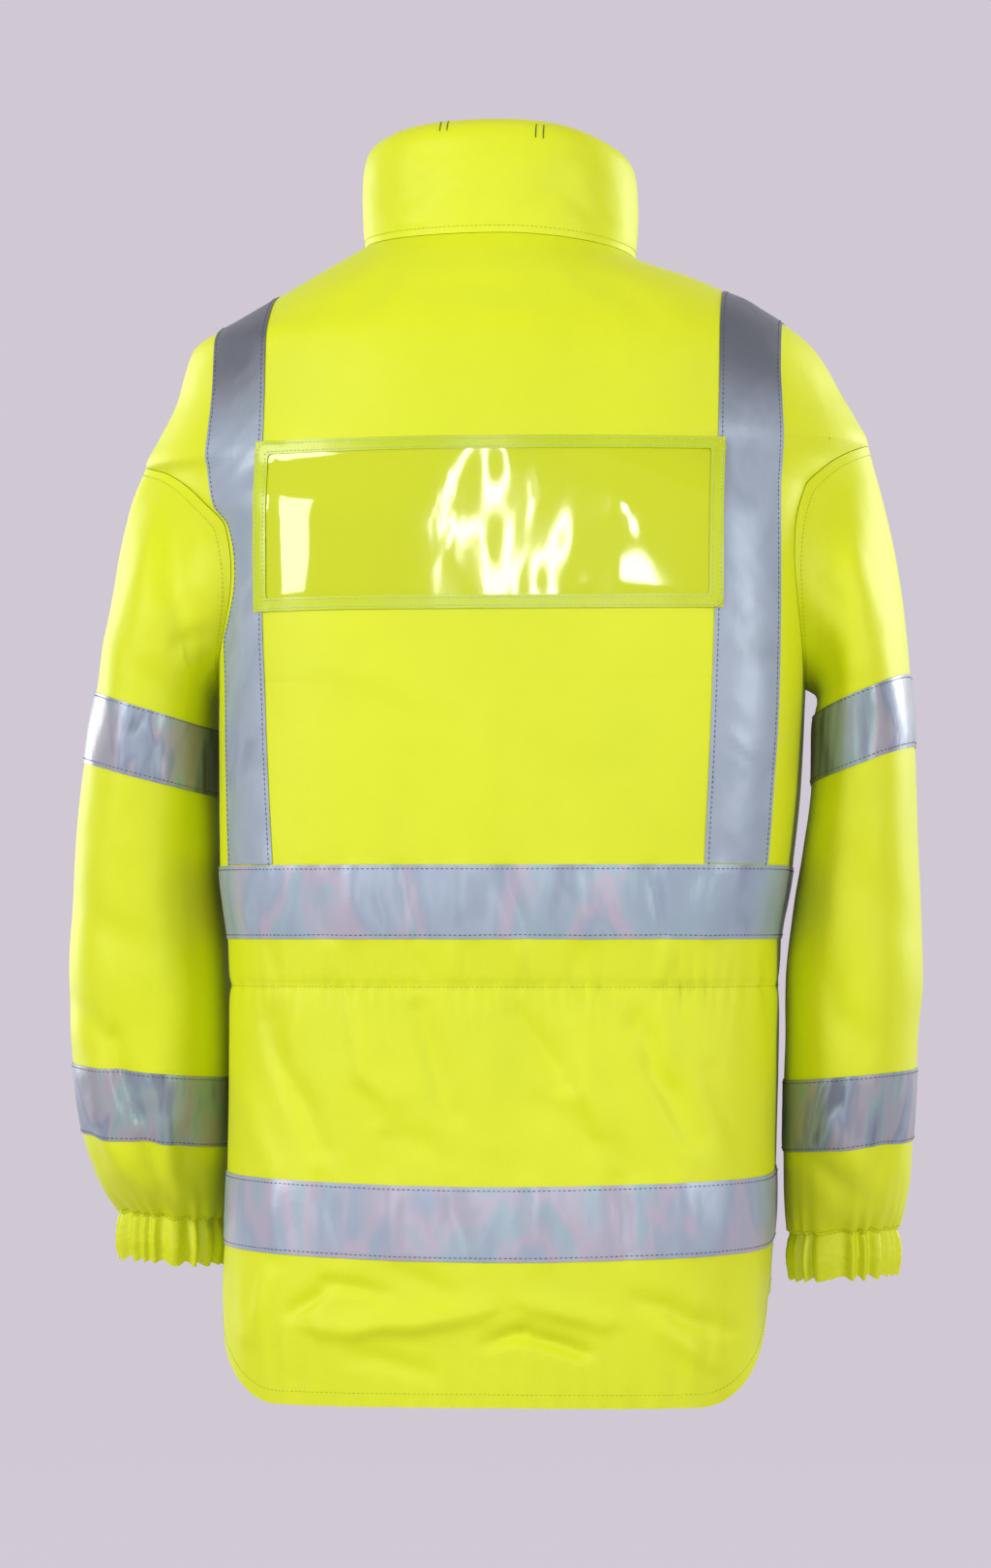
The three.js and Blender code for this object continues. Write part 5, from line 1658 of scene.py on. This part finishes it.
def stitch_nodes() -> bpy.types.NodeTree:
    """The node group that sets stitches along lines.

    Returns:
        The group, made once.
    """
    if "stitch_run" in bpy.data.node_groups:
        return bpy.data.node_groups["stitch_run"]
    group = bpy.data.node_groups.new("stitch_run", "GeometryNodeTree")
    face = group.interface
    face.new_socket("Geometry", in_out="INPUT", socket_type="NodeSocketGeometry")
    for name, value in (("Pitch", 0.004), ("Length", 0.003), ("Radius", 0.0003)):
        face.new_socket(name, in_out="INPUT", socket_type="NodeSocketFloat").default_value = value
    face.new_socket("Seed", in_out="INPUT", socket_type="NodeSocketInt").default_value = 1
    face.new_socket("Thread", in_out="INPUT", socket_type="NodeSocketMaterial")
    face.new_socket("Geometry", in_out="OUTPUT", socket_type="NodeSocketGeometry")
    nodes = group.nodes
    links = group.links
    given = nodes.new("NodeGroupInput")
    result = nodes.new("NodeGroupOutput")
    to_curve = nodes.new("GeometryNodeMeshToCurve")
    resample = nodes.new("GeometryNodeResampleCurve")
    resample.mode = "LENGTH"
    links.new(given.outputs["Geometry"], to_curve.inputs["Mesh"])
    links.new(to_curve.outputs["Curve"], resample.inputs["Curve"])
    links.new(given.outputs["Pitch"], resample.inputs["Length"])
    tangent = nodes.new("GeometryNodeInputTangent")
    out = nodes.new("GeometryNodeInputNamedAttribute")
    out.data_type = "FLOAT_VECTOR"
    out.inputs["Name"].default_value = "out"
    along = nodes.new("FunctionNodeAlignRotationToVector")
    along.axis = "X"
    links.new(tangent.outputs["Tangent"], along.inputs["Vector"])
    upright = nodes.new("FunctionNodeAlignRotationToVector")
    upright.axis = "Z"
    upright.pivot_axis = "X"
    links.new(along.outputs["Rotation"], upright.inputs["Rotation"])
    links.new(out.outputs["Attribute"], upright.inputs["Vector"])
    ball = nodes.new("GeometryNodeMeshIcoSphere")
    ball.inputs["Radius"].default_value = 1.0
    ball.inputs["Subdivisions"].default_value = 1
    half = nodes.new("ShaderNodeMath")
    half.operation = "MULTIPLY"
    half.inputs[1].default_value = 0.5
    links.new(given.outputs["Length"], half.inputs[0])
    size = nodes.new("ShaderNodeCombineXYZ")
    links.new(half.outputs[0], size.inputs["X"])
    links.new(given.outputs["Radius"], size.inputs["Y"])
    links.new(given.outputs["Radius"], size.inputs["Z"])
    vary = nodes.new("FunctionNodeRandomValue")
    vary.data_type = "FLOAT_VECTOR"
    vary.inputs[0].default_value = (0.85, 0.85, 0.85)
    vary.inputs[1].default_value = (1.1, 1.15, 1.1)
    links.new(given.outputs["Seed"], vary.inputs["Seed"])
    scale = nodes.new("ShaderNodeVectorMath")
    scale.operation = "MULTIPLY"
    links.new(size.outputs["Vector"], scale.inputs[0])
    links.new(vary.outputs[0], scale.inputs[1])
    put = nodes.new("GeometryNodeInstanceOnPoints")
    links.new(resample.outputs["Curve"], put.inputs["Points"])
    links.new(ball.outputs["Mesh"], put.inputs["Instance"])
    links.new(upright.outputs["Rotation"], put.inputs["Rotation"])
    links.new(scale.outputs["Vector"], put.inputs["Scale"])
    real = nodes.new("GeometryNodeRealizeInstances")
    links.new(put.outputs["Instances"], real.inputs["Geometry"])
    paint = nodes.new("GeometryNodeSetMaterial")
    links.new(real.outputs["Geometry"], paint.inputs["Geometry"])
    links.new(given.outputs["Thread"], paint.inputs["Material"])
    links.new(paint.outputs["Geometry"], result.inputs["Geometry"])
    return group


@dataclass
class Threads:
    """Every run of stitches on the jacket."""

    grey: StitchRun
    pale: StitchRun
    yellow: StitchRun
    green: StitchRun

    @staticmethod
    def make() -> "Threads":
        """Starts the runs.

        Returns:
            Empty runs in their threads.
        """
        return Threads(
            StitchRun("stitches_tape", PAINT.thread("thread_grey", srgb(84, 88, 92)), "reflective_tape",
                      3.4, 2.5, 0.36, 3),
            StitchRun("stitches_window", PAINT.thread("thread_pale", srgb(206, 222, 168)), "window_border",
                      3.0, 2.2, 0.42, 5),
            StitchRun("stitches_cloth", PAINT.thread("thread_yellow", srgb(196, 208, 18)), "hi_vis_cloth",
                      3.2, 2.5, 0.34, 7),
            StitchRun("bar_tacks", PAINT.thread("thread_green", srgb(34, 74, 40)), "hi_vis_cloth",
                      1.0, 3.4, 0.36, 9),
        )

    def build(self) -> None:
        """Makes every run."""
        for run in (self.grey, self.pale, self.yellow, self.green):
            run.build()


def line_at(grid: Grid, row: np.ndarray, place: float) -> tuple[np.ndarray, np.ndarray]:
    """A line across a whole grid.

    Args:
        grid: The grid.
        row: Places of its rows.
        place: The line's place among them.

    Returns:
        The line's points and directions.
    """
    last = len(row) - 1
    share = float(np.interp(place, row, np.arange(len(row)))) / last
    return row_at(grid, 0, last, share)


def rows_between(row: np.ndarray, first: float, last: float) -> tuple[int, int]:
    """Finds the fine rows of a stretch.

    Args:
        row: Places of the fine rows.
        first: Place where it starts.
        last: Place where it ends.

    Returns:
        The first and last fine row.
    """
    return int(np.argmin(np.abs(row - first))), int(np.argmin(np.abs(row - last)))


def row_at(grid: Grid, first: int, last: int, share: float) -> tuple[np.ndarray, np.ndarray]:
    """A line across a stretch of rows.

    Args:
        grid: The grid.
        first: First row of the stretch.
        last: Last row of the stretch.
        share: Share of the way up it.

    Returns:
        The line's points and directions.
    """
    place = first + (last - first) * share
    low = int(math.floor(place))
    high = min(low + 1, grid.points.shape[0] - 1)
    part = place - low
    points = grid.points[low] * (1 - part) + grid.points[high] * part
    out = grid.out[low] * (1 - part) + grid.out[high] * part
    if grid.closed:
        points = np.concatenate([points, points[:1]])
        out = np.concatenate([out, out[:1]])
    return points, out


def band(node: str, grid: Grid, first: int, last: int, material: bpy.types.Material,
         threads: Threads) -> bpy.types.Object:
    """A tape sewn on a stretch of rows, with a line of stitches along each edge.

    Args:
        node: The tape's node.
        grid: The grid of the piece below.
        first: First row.
        last: Last row.
        material: The tape's material.
        threads: The runs of stitches.

    Returns:
        The tape.
    """
    part = grid.rows(first, last)
    x = part.points[..., 0]
    z = part.points[..., 2]
    turned = np.arctan2(part.points[..., 1], x) * 120
    across = turned if grid.closed else x
    middle = np.sin(np.pi * np.linspace(0, 1, part.points.shape[0]))[:, None] ** 0.6
    wide = 1 + ripple(across, z, 15, 30, first)
    narrow = 1 + ripple(across, z, 6, 19, last)
    swell = 0.42 * middle * wide + 0.25 * middle * narrow
    part = part.moved(swell)
    piece = shell(f"{node}_sewn", part, TAPE_LIFT, TAPE_LIFT + TAPE)
    dress(piece, node, material)
    for share in TAPE_STITCH_SHARES:
        line, out = row_at(part, 0, part.points.shape[0] - 1, share)
        threads.grey.add(line, out, TAPE_LIFT + TAPE + 0.12)
    return piece


@dataclass
class Body:
    """The back and the two fronts, with the tapes round them."""

    threads: Threads
    trees: dict[str, BVHTree] = field(default_factory=dict)

    def build(self) -> None:
        """Makes the panels and their tapes."""
        cloth = PAINT.cloth(HI_VIS)
        tape = PAINT.tape(BAND_TAPE)
        panels = (("back", 1, (RIGHT, LEFT), BACK_CELL, "back_panel"),
                  ("front_left", -1, (LEFT,), FRONT_CELL, "front_left"),
                  ("front_right", -1, (RIGHT,), FRONT_CELL, "front_right"))
        for name, face, sides, cell, node in panels:
            grid, row = body_panel(face, sides, cell)
            piece = shell(f"{node}_cloth", grid, -CLOTH, 0)
            dress(piece, node, cloth)
            self.trees[node] = tree_of(piece)
            for place, start in (("waist", WAIST_TAPE_ROW), ("lower", LOWER_TAPE_ROW)):
                first, last = rows_between(row, start, start + 1)
                band(f"{place}_tape_{name}", grid, first, last, tape, self.threads)
            self.sew(grid, row, face)
            LOG.info("%s: %d rows of %d", node, *grid.points.shape[:2])

    def sew(self, grid: Grid, row: np.ndarray, face: int) -> None:
        """Adds the panel's own stitching.

        Args:
            grid: The panel's grid.
            row: Places of its rows.
            face: 1 for the back, -1 for a front.
        """
        for place in (HEM_STITCH_ROW, CORD_ROW):
            line, out = line_at(grid, row, place)
            self.threads.yellow.add(line, out, STITCH_LIFT)
        if face < 0:
            self.threads.yellow.add(grid.points[:, 2], grid.out[:, 2], STITCH_LIFT)


@dataclass
class Arms:
    """Sleeves with their tapes and gathered cuffs."""

    threads: Threads

    def build(self) -> None:
        """Makes both sides."""
        for name, side in (("left", LEFT), ("right", RIGHT)):
            grid, row = sleeve_grid(side, SLEEVE_CELL)
            piece = shell(f"sleeve_{name}_cloth", grid, -CLOTH, 0)
            dress(piece, f"sleeve_{name}", PAINT.cloth(HI_VIS))
            for place, start in SLEEVE_TAPE_ROWS.items():
                first, last = rows_between(row, start, start + 1)
                band(f"sleeve_{name}_tape_{place}", grid, first, last, PAINT.tape(SLEEVE_TAPE), self.threads)
            cuff = cuff_grid(side, grid)
            piece = shell(f"cuff_{name}_cloth", cuff, -CLOTH, 0)
            dress(piece, f"cuff_{name}", PAINT.cloth(CUFF_CLOTH))
            line, out = line_at(grid, row, ARMHOLE_STITCH_ROW)
            self.threads.yellow.add(line, out, STITCH_LIFT)
            line, out = row_at(cuff, 0, cuff.points.shape[0] - 1, SEAM_STITCH_SHARE)
            self.threads.yellow.add(line, out, STITCH_LIFT)


@dataclass
class Collar:
    """The stand collar with its bar tacks."""

    threads: Threads
    tacks: tuple[tuple[float, float], ...] = ((38.6, 114.5), (33.4, 114.5), (-28.4, 108), (-33.6, 107.6))

    def build(self) -> None:
        """Makes the collar and its stitching."""
        grid = collar_grid()
        piece = shell("collar_cloth", grid, -COLLAR_CLOTH, 0)
        dress(piece, "collar", PAINT.cloth(HI_VIS))
        count = grid.points.shape[0] - 1
        line, out = row_at(grid, 0, count, SEAM_STITCH_SHARE)
        self.threads.yellow.add(line, out, STITCH_LIFT)
        tree = tree_of(piece)
        for x, z in self.tacks:
            points = []
            outs = []
            for step in np.linspace(-4.2, 4.2, 10):
                hit = tree.ray_cast(Vector((x, 260, z + step)) * MM, Vector((0, -1, 0)), 0.3)
                if hit[0] is None:
                    continue
                points.append(np.array(hit[0]) / MM)
                outs.append(np.array(hit[1]))
            if len(points) > 2:
                self.threads.green.add(np.array(points), np.array(outs), 0.25)


@dataclass
class Braces:
    """The two over-shoulder braces."""

    threads: Threads
    body: Body
    trees: list[BVHTree] = field(default_factory=list)

    def build(self) -> None:
        """Makes both strips."""
        for name, side in (("left", LEFT), ("right", RIGHT)):
            below = [self.body.trees["back_panel"], self.body.trees[f"front_{name}"]]
            plain = lay_on(brace_grid(side), below, TAPE_LIFT)
            across = plain.points[..., 0]
            z = plain.points[..., 2]
            slant = z + 0.8 * (across * side.sign)
            creases = ripple(across, slant, 34, 13, 51 + side.sign) ** 2
            middle = np.sin(np.pi * np.linspace(0, 1, plain.points.shape[1]))[None] ** 0.5
            grid = plain.moved(middle * (0.25 + 1.1 * creases))
            piece = shell(f"brace_{name}_sewn", grid, 0, TAPE)
            dress(piece, f"brace_{name}", PAINT.tape(BRACE_TAPE))
            self.trees.append(tree_of(piece))
            last = grid.points.shape[1] - 1
            for share in TAPE_STITCH_SHARES:
                low = int(math.floor(last * share))
                part = last * share - low
                line = grid.points[:, low] * (1 - part) + grid.points[:, low + 1] * part
                out = grid.out[:, low]
                self.threads.grey.add(line, out, TAPE + 0.12)


@dataclass
class Window:
    """The clear window and its sewn border."""

    threads: Threads
    body: Body
    braces: Braces

    def build(self) -> None:
        """Makes the sheet, the border and its stitching."""
        below = [self.body.trees["back_panel"], *self.braces.trees]
        grid = lay_on(window_grid(), below, 0.35)
        x = grid.points[..., 0]
        z = grid.points[..., 2]
        rows, columns = x.shape
        edge = np.minimum(np.minimum(np.arange(columns), np.arange(columns)[::-1])[None] / 8,
                          np.minimum(np.arange(rows), np.arange(rows)[::-1])[:, None] / 6)
        dents = 0.5 + 0.24 * ripple(x, z, 42, 80, 61) + 0.13 * ripple(x, z, 15, 30, 62)
        grid = grid.moved(np.maximum(dents, 0) * smooth(edge))
        piece = shell("window_sheet_clear", grid, 0, WINDOW_SHEET)
        dress(piece, "window_sheet", PAINT.clear())
        border = lay_on(border_grid(), [*below, tree_of(piece)], 0.2)
        frame_piece = shell("window_border_sewn", border, 0, BORDER_CLOTH)
        dress(frame_piece, "window_border", PAINT.cloth(BORDER_FINISH))
        for share in BORDER_STITCH_SHARES:
            line, out = row_at(border, 0, border.points.shape[0] - 1, share)
            self.threads.pale.add(line, out, BORDER_CLOTH + 0.15)


@dataclass
class Zip:
    """Zip tapes, teeth, slider and pull tab at the centre front."""

    tape_out: float = 15.0
    tooth_pitch: float = 2.6

    def line(self) -> tuple[np.ndarray, np.ndarray]:
        """The zip's line on the inner face of the fronts and the collar.

        Returns:
            Its points at the centre and its outward directions.
        """
        low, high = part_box("zip_chain")
        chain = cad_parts["zip_chain"]
        points = np.array([chain.matrix_world @ v.co for v in chain.data.vertices]) / MM
        heights = np.linspace(low[2] / MM, high[2] / MM, 160)
        order = points[points[:, 2].argsort()]
        levels = np.unique(np.round(order[:, 2], 1))
        nearest = np.array([order[np.abs(order[:, 2] - level) < 0.4][:, 1].min() for level in levels])
        front = np.interp(heights, levels, nearest)
        line = np.stack([np.zeros(len(heights)), front + 1.2, heights], axis=1)
        run = np.gradient(line, axis=0)
        out = np.stack([np.zeros(len(run)), -run[:, 2], run[:, 1]], axis=1)
        return line, out / np.linalg.norm(out, axis=1, keepdims=True)

    def build(self) -> None:
        """Makes the zip."""
        line, out = self.line()
        cloth = PAINT.cloth(ZIP_CLOTH)
        for name, sign in (("left", 1), ("right", -1)):
            across = np.linspace(0.3, self.tape_out, 6) * sign
            points = np.stack([line + np.array([x, 0, 0]) for x in across], axis=1)
            grid = Grid(points, np.repeat(out[:, None], len(across), axis=1))
            piece = shell(f"zip_tape_{name}_woven", grid, -1.1, -0.4)
            dress(piece, f"zip_tape_{name}", cloth)
        teeth = StitchRun("zip_teeth", PAINT.thread("zip_plastic", srgb(176, 190, 24)), "zip_tape",
                          self.tooth_pitch, 1.7, 1.5, 13)
        teeth.add(line + np.array([1.0, 0, 0]), out, -0.1)
        teeth.add(line[:-2] + np.array([-1.0, 0, self.tooth_pitch / 2]), out[:-2], -0.1)
        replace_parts(teeth.build(), "zip_chain")
        metal = PAINT.metal()
        for node, shape in (("zip_slider", self.slider_outline()), ("zip_pull", self.pull_outline())):
            piece = self.plate(node, shape)
            piece.data.materials.append(metal)
            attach(piece, "jacket" if node == "zip_slider" else "pull_tab")
            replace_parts(piece, node)

    @staticmethod
    def slider_outline() -> list[list[tuple[float, float]]]:
        """Outline of the slider, wide at its top.

        Returns:
            The outline in shares of the slider's box.
        """
        half = [(0.0, 0.5), (0.30, 0.5), (0.47, 0.4), (0.5, 0.2), (0.46, -0.1), (0.36, -0.42), (0.28, -0.5)]
        return [half + [(-x, z) for x, z in reversed(half[1:])]]

    @staticmethod
    def pull_outline() -> list[list[tuple[float, float]]]:
        """Outline of the pull tab, with its eye at the top and a grip at the bottom.

        Returns:
            The outer outline and the outline of the eye, in shares of the tab's box.
        """
        half = [(0.0, 0.5), (0.3, 0.49), (0.42, 0.45), (0.42, 0.3), (0.3, 0.24), (0.27, 0.02), (0.4, -0.08),
                (0.5, -0.2), (0.5, -0.42), (0.4, -0.49), (0.0, -0.5)]
        outer = half + [(-x, z) for x, z in reversed(half[1:-1])]
        eye = [(0.2 * math.cos(t), 0.385 + 0.045 * math.sin(t)) for t in np.linspace(0, 2 * np.pi, 17)[:-1]]
        return [outer, eye]

    @staticmethod
    def plate(node: str, shape: Sequence[Sequence[tuple[float, float]]]) -> bpy.types.Object:
        """A bevelled metal plate in a node's box.

        Args:
            node: The node that it stands for.
            shape: Outlines in shares of the box, the outer one first.

        Returns:
            The plate.
        """
        low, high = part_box(node)
        low = np.array(low)
        high = np.array(high)
        middle = (low + high) / 2
        size = high - low
        mesh = bmesh.new()
        edges = []
        for outline in shape:
            places = [(middle[0] + x * size[0], low[1], middle[2] + z * size[2]) for x, z in outline]
            ring = [mesh.verts.new(place) for place in places]
            edges += [mesh.edges.new((ring[i], ring[(i + 1) % len(ring)])) for i in range(len(ring))]
        filled = bmesh.ops.triangle_fill(mesh, use_beauty=True, edges=edges)
        faces = [g for g in filled["geom"] if isinstance(g, bmesh.types.BMFace)]
        grown = bmesh.ops.extrude_face_region(mesh, geom=faces)
        moved = [g for g in grown["geom"] if isinstance(g, bmesh.types.BMVert)]
        bmesh.ops.translate(mesh, vec=Vector((0, size[1], 0)), verts=moved)
        bmesh.ops.recalc_face_normals(mesh, faces=mesh.faces)
        data = bpy.data.meshes.new(f"{node}_cast")
        mesh.to_mesh(data)
        mesh.free()
        thing = bpy.data.objects.new(f"{node}_cast", data)
        bpy.context.scene.collection.objects.link(thing)
        bevel = thing.modifiers.new("edges", "BEVEL")
        bevel.width = 0.00025
        bevel.segments = 2
        bevel.limit_method = "ANGLE"
        return thing


@dataclass(frozen=True)
class Studio:
    """Backdrop, lights and camera."""

    distance: float = 3.4
    turn: float = 185.0
    camera_height: float = -0.443
    lens: float = 111.1
    floor: float = -1.25
    backdrop: tuple[float, float, float, float] = srgb(209, 201, 212)

    def build(self) -> None:
        """Makes the whole studio."""
        self.make_backdrop()
        self.make_lights()
        self.make_camera()
        scene = bpy.context.scene
        scene.view_settings.view_transform = "Standard"
        scene.view_settings.look = "None"
        world = bpy.data.worlds.new("studio_air")
        scene.world = world
        world.use_nodes = True
        air = world.node_tree.nodes["Background"]
        air.inputs["Color"].default_value = self.backdrop
        air.inputs["Strength"].default_value = 0.72

    def make_backdrop(self) -> None:
        """A pale round floor that curves up into a wall all round."""
        profile = [(0.0, 0.0), (3.0, 0.0), (6.0, 0.0)]
        bend = np.linspace(0.1, np.pi / 2, 16)
        profile += [(6.0 + 2.5 * math.sin(t), 2.5 - 2.5 * math.cos(t)) for t in bend]
        profile += [(8.5, 5.0), (8.5, 9.0)]
        count = 96
        vertices = []
        for radius, height in profile:
            for i in range(count):
                angle = 2 * math.pi * i / count
                vertices.append((radius * math.cos(angle) * 1000, radius * math.sin(angle) * 1000,
                                 (self.floor + height) * 1000))
        faces = []
        for r in range(len(profile) - 1):
            for i in range(count):
                n = (i + 1) % count
                faces.append((r * count + i, r * count + n, (r + 1) * count + n, (r + 1) * count + i))
        floor = tuple(range(count, 2 * count))[::-1]
        bowl = make_object("backdrop", np.array(vertices), faces[count:] + [floor])
        for polygon in bowl.data.polygons:
            polygon.use_smooth = True
        material, tree, shader = Paint.start("backdrop_paper")
        grain = Paint.noise(tree, (3, 3, 3), 2)
        ramp = tree.nodes.new("ShaderNodeValToRGB")
        ramp.color_ramp.elements[0].color = tuple(c * 0.02 for c in self.backdrop[:3]) + (1,)
        ramp.color_ramp.elements[1].color = tuple(c * 0.03 for c in self.backdrop[:3]) + (1,)
        tree.links.new(grain.outputs["Fac"], ramp.inputs["Fac"])
        tree.links.new(ramp.outputs["Color"], shader.inputs["Base Color"])
        shader.inputs["Roughness"].default_value = 1.0
        shader.inputs["Specular IOR Level"].default_value = 0.0
        shader.inputs["Emission Color"].default_value = self.backdrop
        shader.inputs["Emission Strength"].default_value = 0.98
        bowl.data.materials.append(material)
        bowl.visible_diffuse = False
        bowl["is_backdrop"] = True

    def make_lights(self) -> None:
        """Soft boxes on every side, with two narrow ones that show as streaks in the clear window."""
        boxes = (
            ("key", (2.4, 2.1, 0.5), (1.0, 1.5), 48.0),
            ("fill", (-2.5, 2.2, 0.1), (1.0, 1.6), 34.0),
            ("front_key", (-2.4, -2.1, 0.5), (1.0, 1.5), 48.0),
            ("front_fill", (2.5, -2.2, 0.1), (1.0, 1.6), 34.0),
            ("top", (0.0, 0.3, 3.0), (1.6, 1.6), 8.0),
        )
        for name, place, size, power in boxes:
            self.area(name, place, size, power)
        for name, place in (("soft_back", (0.0, 3.8, 0.2)), ("soft_front", (0.0, -3.8, 0.2))):
            self.area(name, place, (1.6, 1.6), 13.0).visible_glossy = False
        streaks = (
            ("streak_middle", (0.33, 3.6, 0.1), (0.09, 2.4), 15.0),
            ("streak_high", (-0.21, 3.6, 0.56), (0.1, 0.36), 3.0),
            ("streak_low", (-0.21, 3.6, 0.12), (0.34, 0.22), 4.5),
        )
        for name, place, size, power in streaks:
            self.area(name, place, size, power).visible_diffuse = False

    @staticmethod
    def area(name: str, place: tuple[float, float, float], size: tuple[float, float],
             power: float) -> bpy.types.Object:
        """One area light that points at the jacket.

        Args:
            name: The light's name.
            place: Where it stands.
            size: Its width and height.
            power: Its power in watts.

        Returns:
            The light.
        """
        data = bpy.data.lights.new(name, "AREA")
        data.shape = "RECTANGLE"
        data.size = size[0]
        data.size_y = size[1]
        data.energy = power
        light = bpy.data.objects.new(name, data)
        light.location = place
        aim = Vector((0, 0, -0.35)) - Vector(place)
        light.rotation_mode = "QUATERNION"
        light.rotation_quaternion = aim.to_track_quat("-Z", "Y")
        light.visible_camera = False
        bpy.context.scene.collection.objects.link(light)
        return light

    def make_camera(self) -> None:
        """The camera at the photograph's place."""
        turn = math.radians(self.turn - 180)
        place = Vector((-math.sin(turn) * self.distance, math.cos(turn) * self.distance, self.camera_height))
        aim = Vector((0.006 * math.cos(turn), 0.006 * math.sin(turn), -0.341))
        data = bpy.data.cameras.new("photo_camera")
        data.lens = self.lens
        data.sensor_width = 36.0
        camera = bpy.data.objects.new("photo_camera", data)
        camera.location = place
        camera.rotation_mode = "QUATERNION"
        camera.rotation_quaternion = (aim - place).to_track_quat("-Z", "Y")
        bpy.context.scene.collection.objects.link(camera)
        bpy.context.scene.camera = camera


def corners(box: tuple[Vector, Vector]) -> list[list[float]]:
    """Turns a box into plain lists.

    Args:
        box: Its lowest and highest corner.

    Returns:
        The corners as numbers.
    """
    return [[float(value) for value in corner] for corner in box]


def main() -> None:
    """Builds the jacket and the studio."""
    logging.basicConfig(level=logging.INFO)
    cad_box = corners(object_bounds())
    Studio().build()
    threads = Threads.make()
    body = Body(threads)
    body.build()
    Arms(threads).build()
    Collar(threads).build()
    braces = Braces(threads, body)
    braces.build()
    Window(threads, body, braces).build()
    Zip().build()
    threads.build()
    {"cad": cad_box, "visual": corners(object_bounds())}


if __name__ == "__main__":
    main()
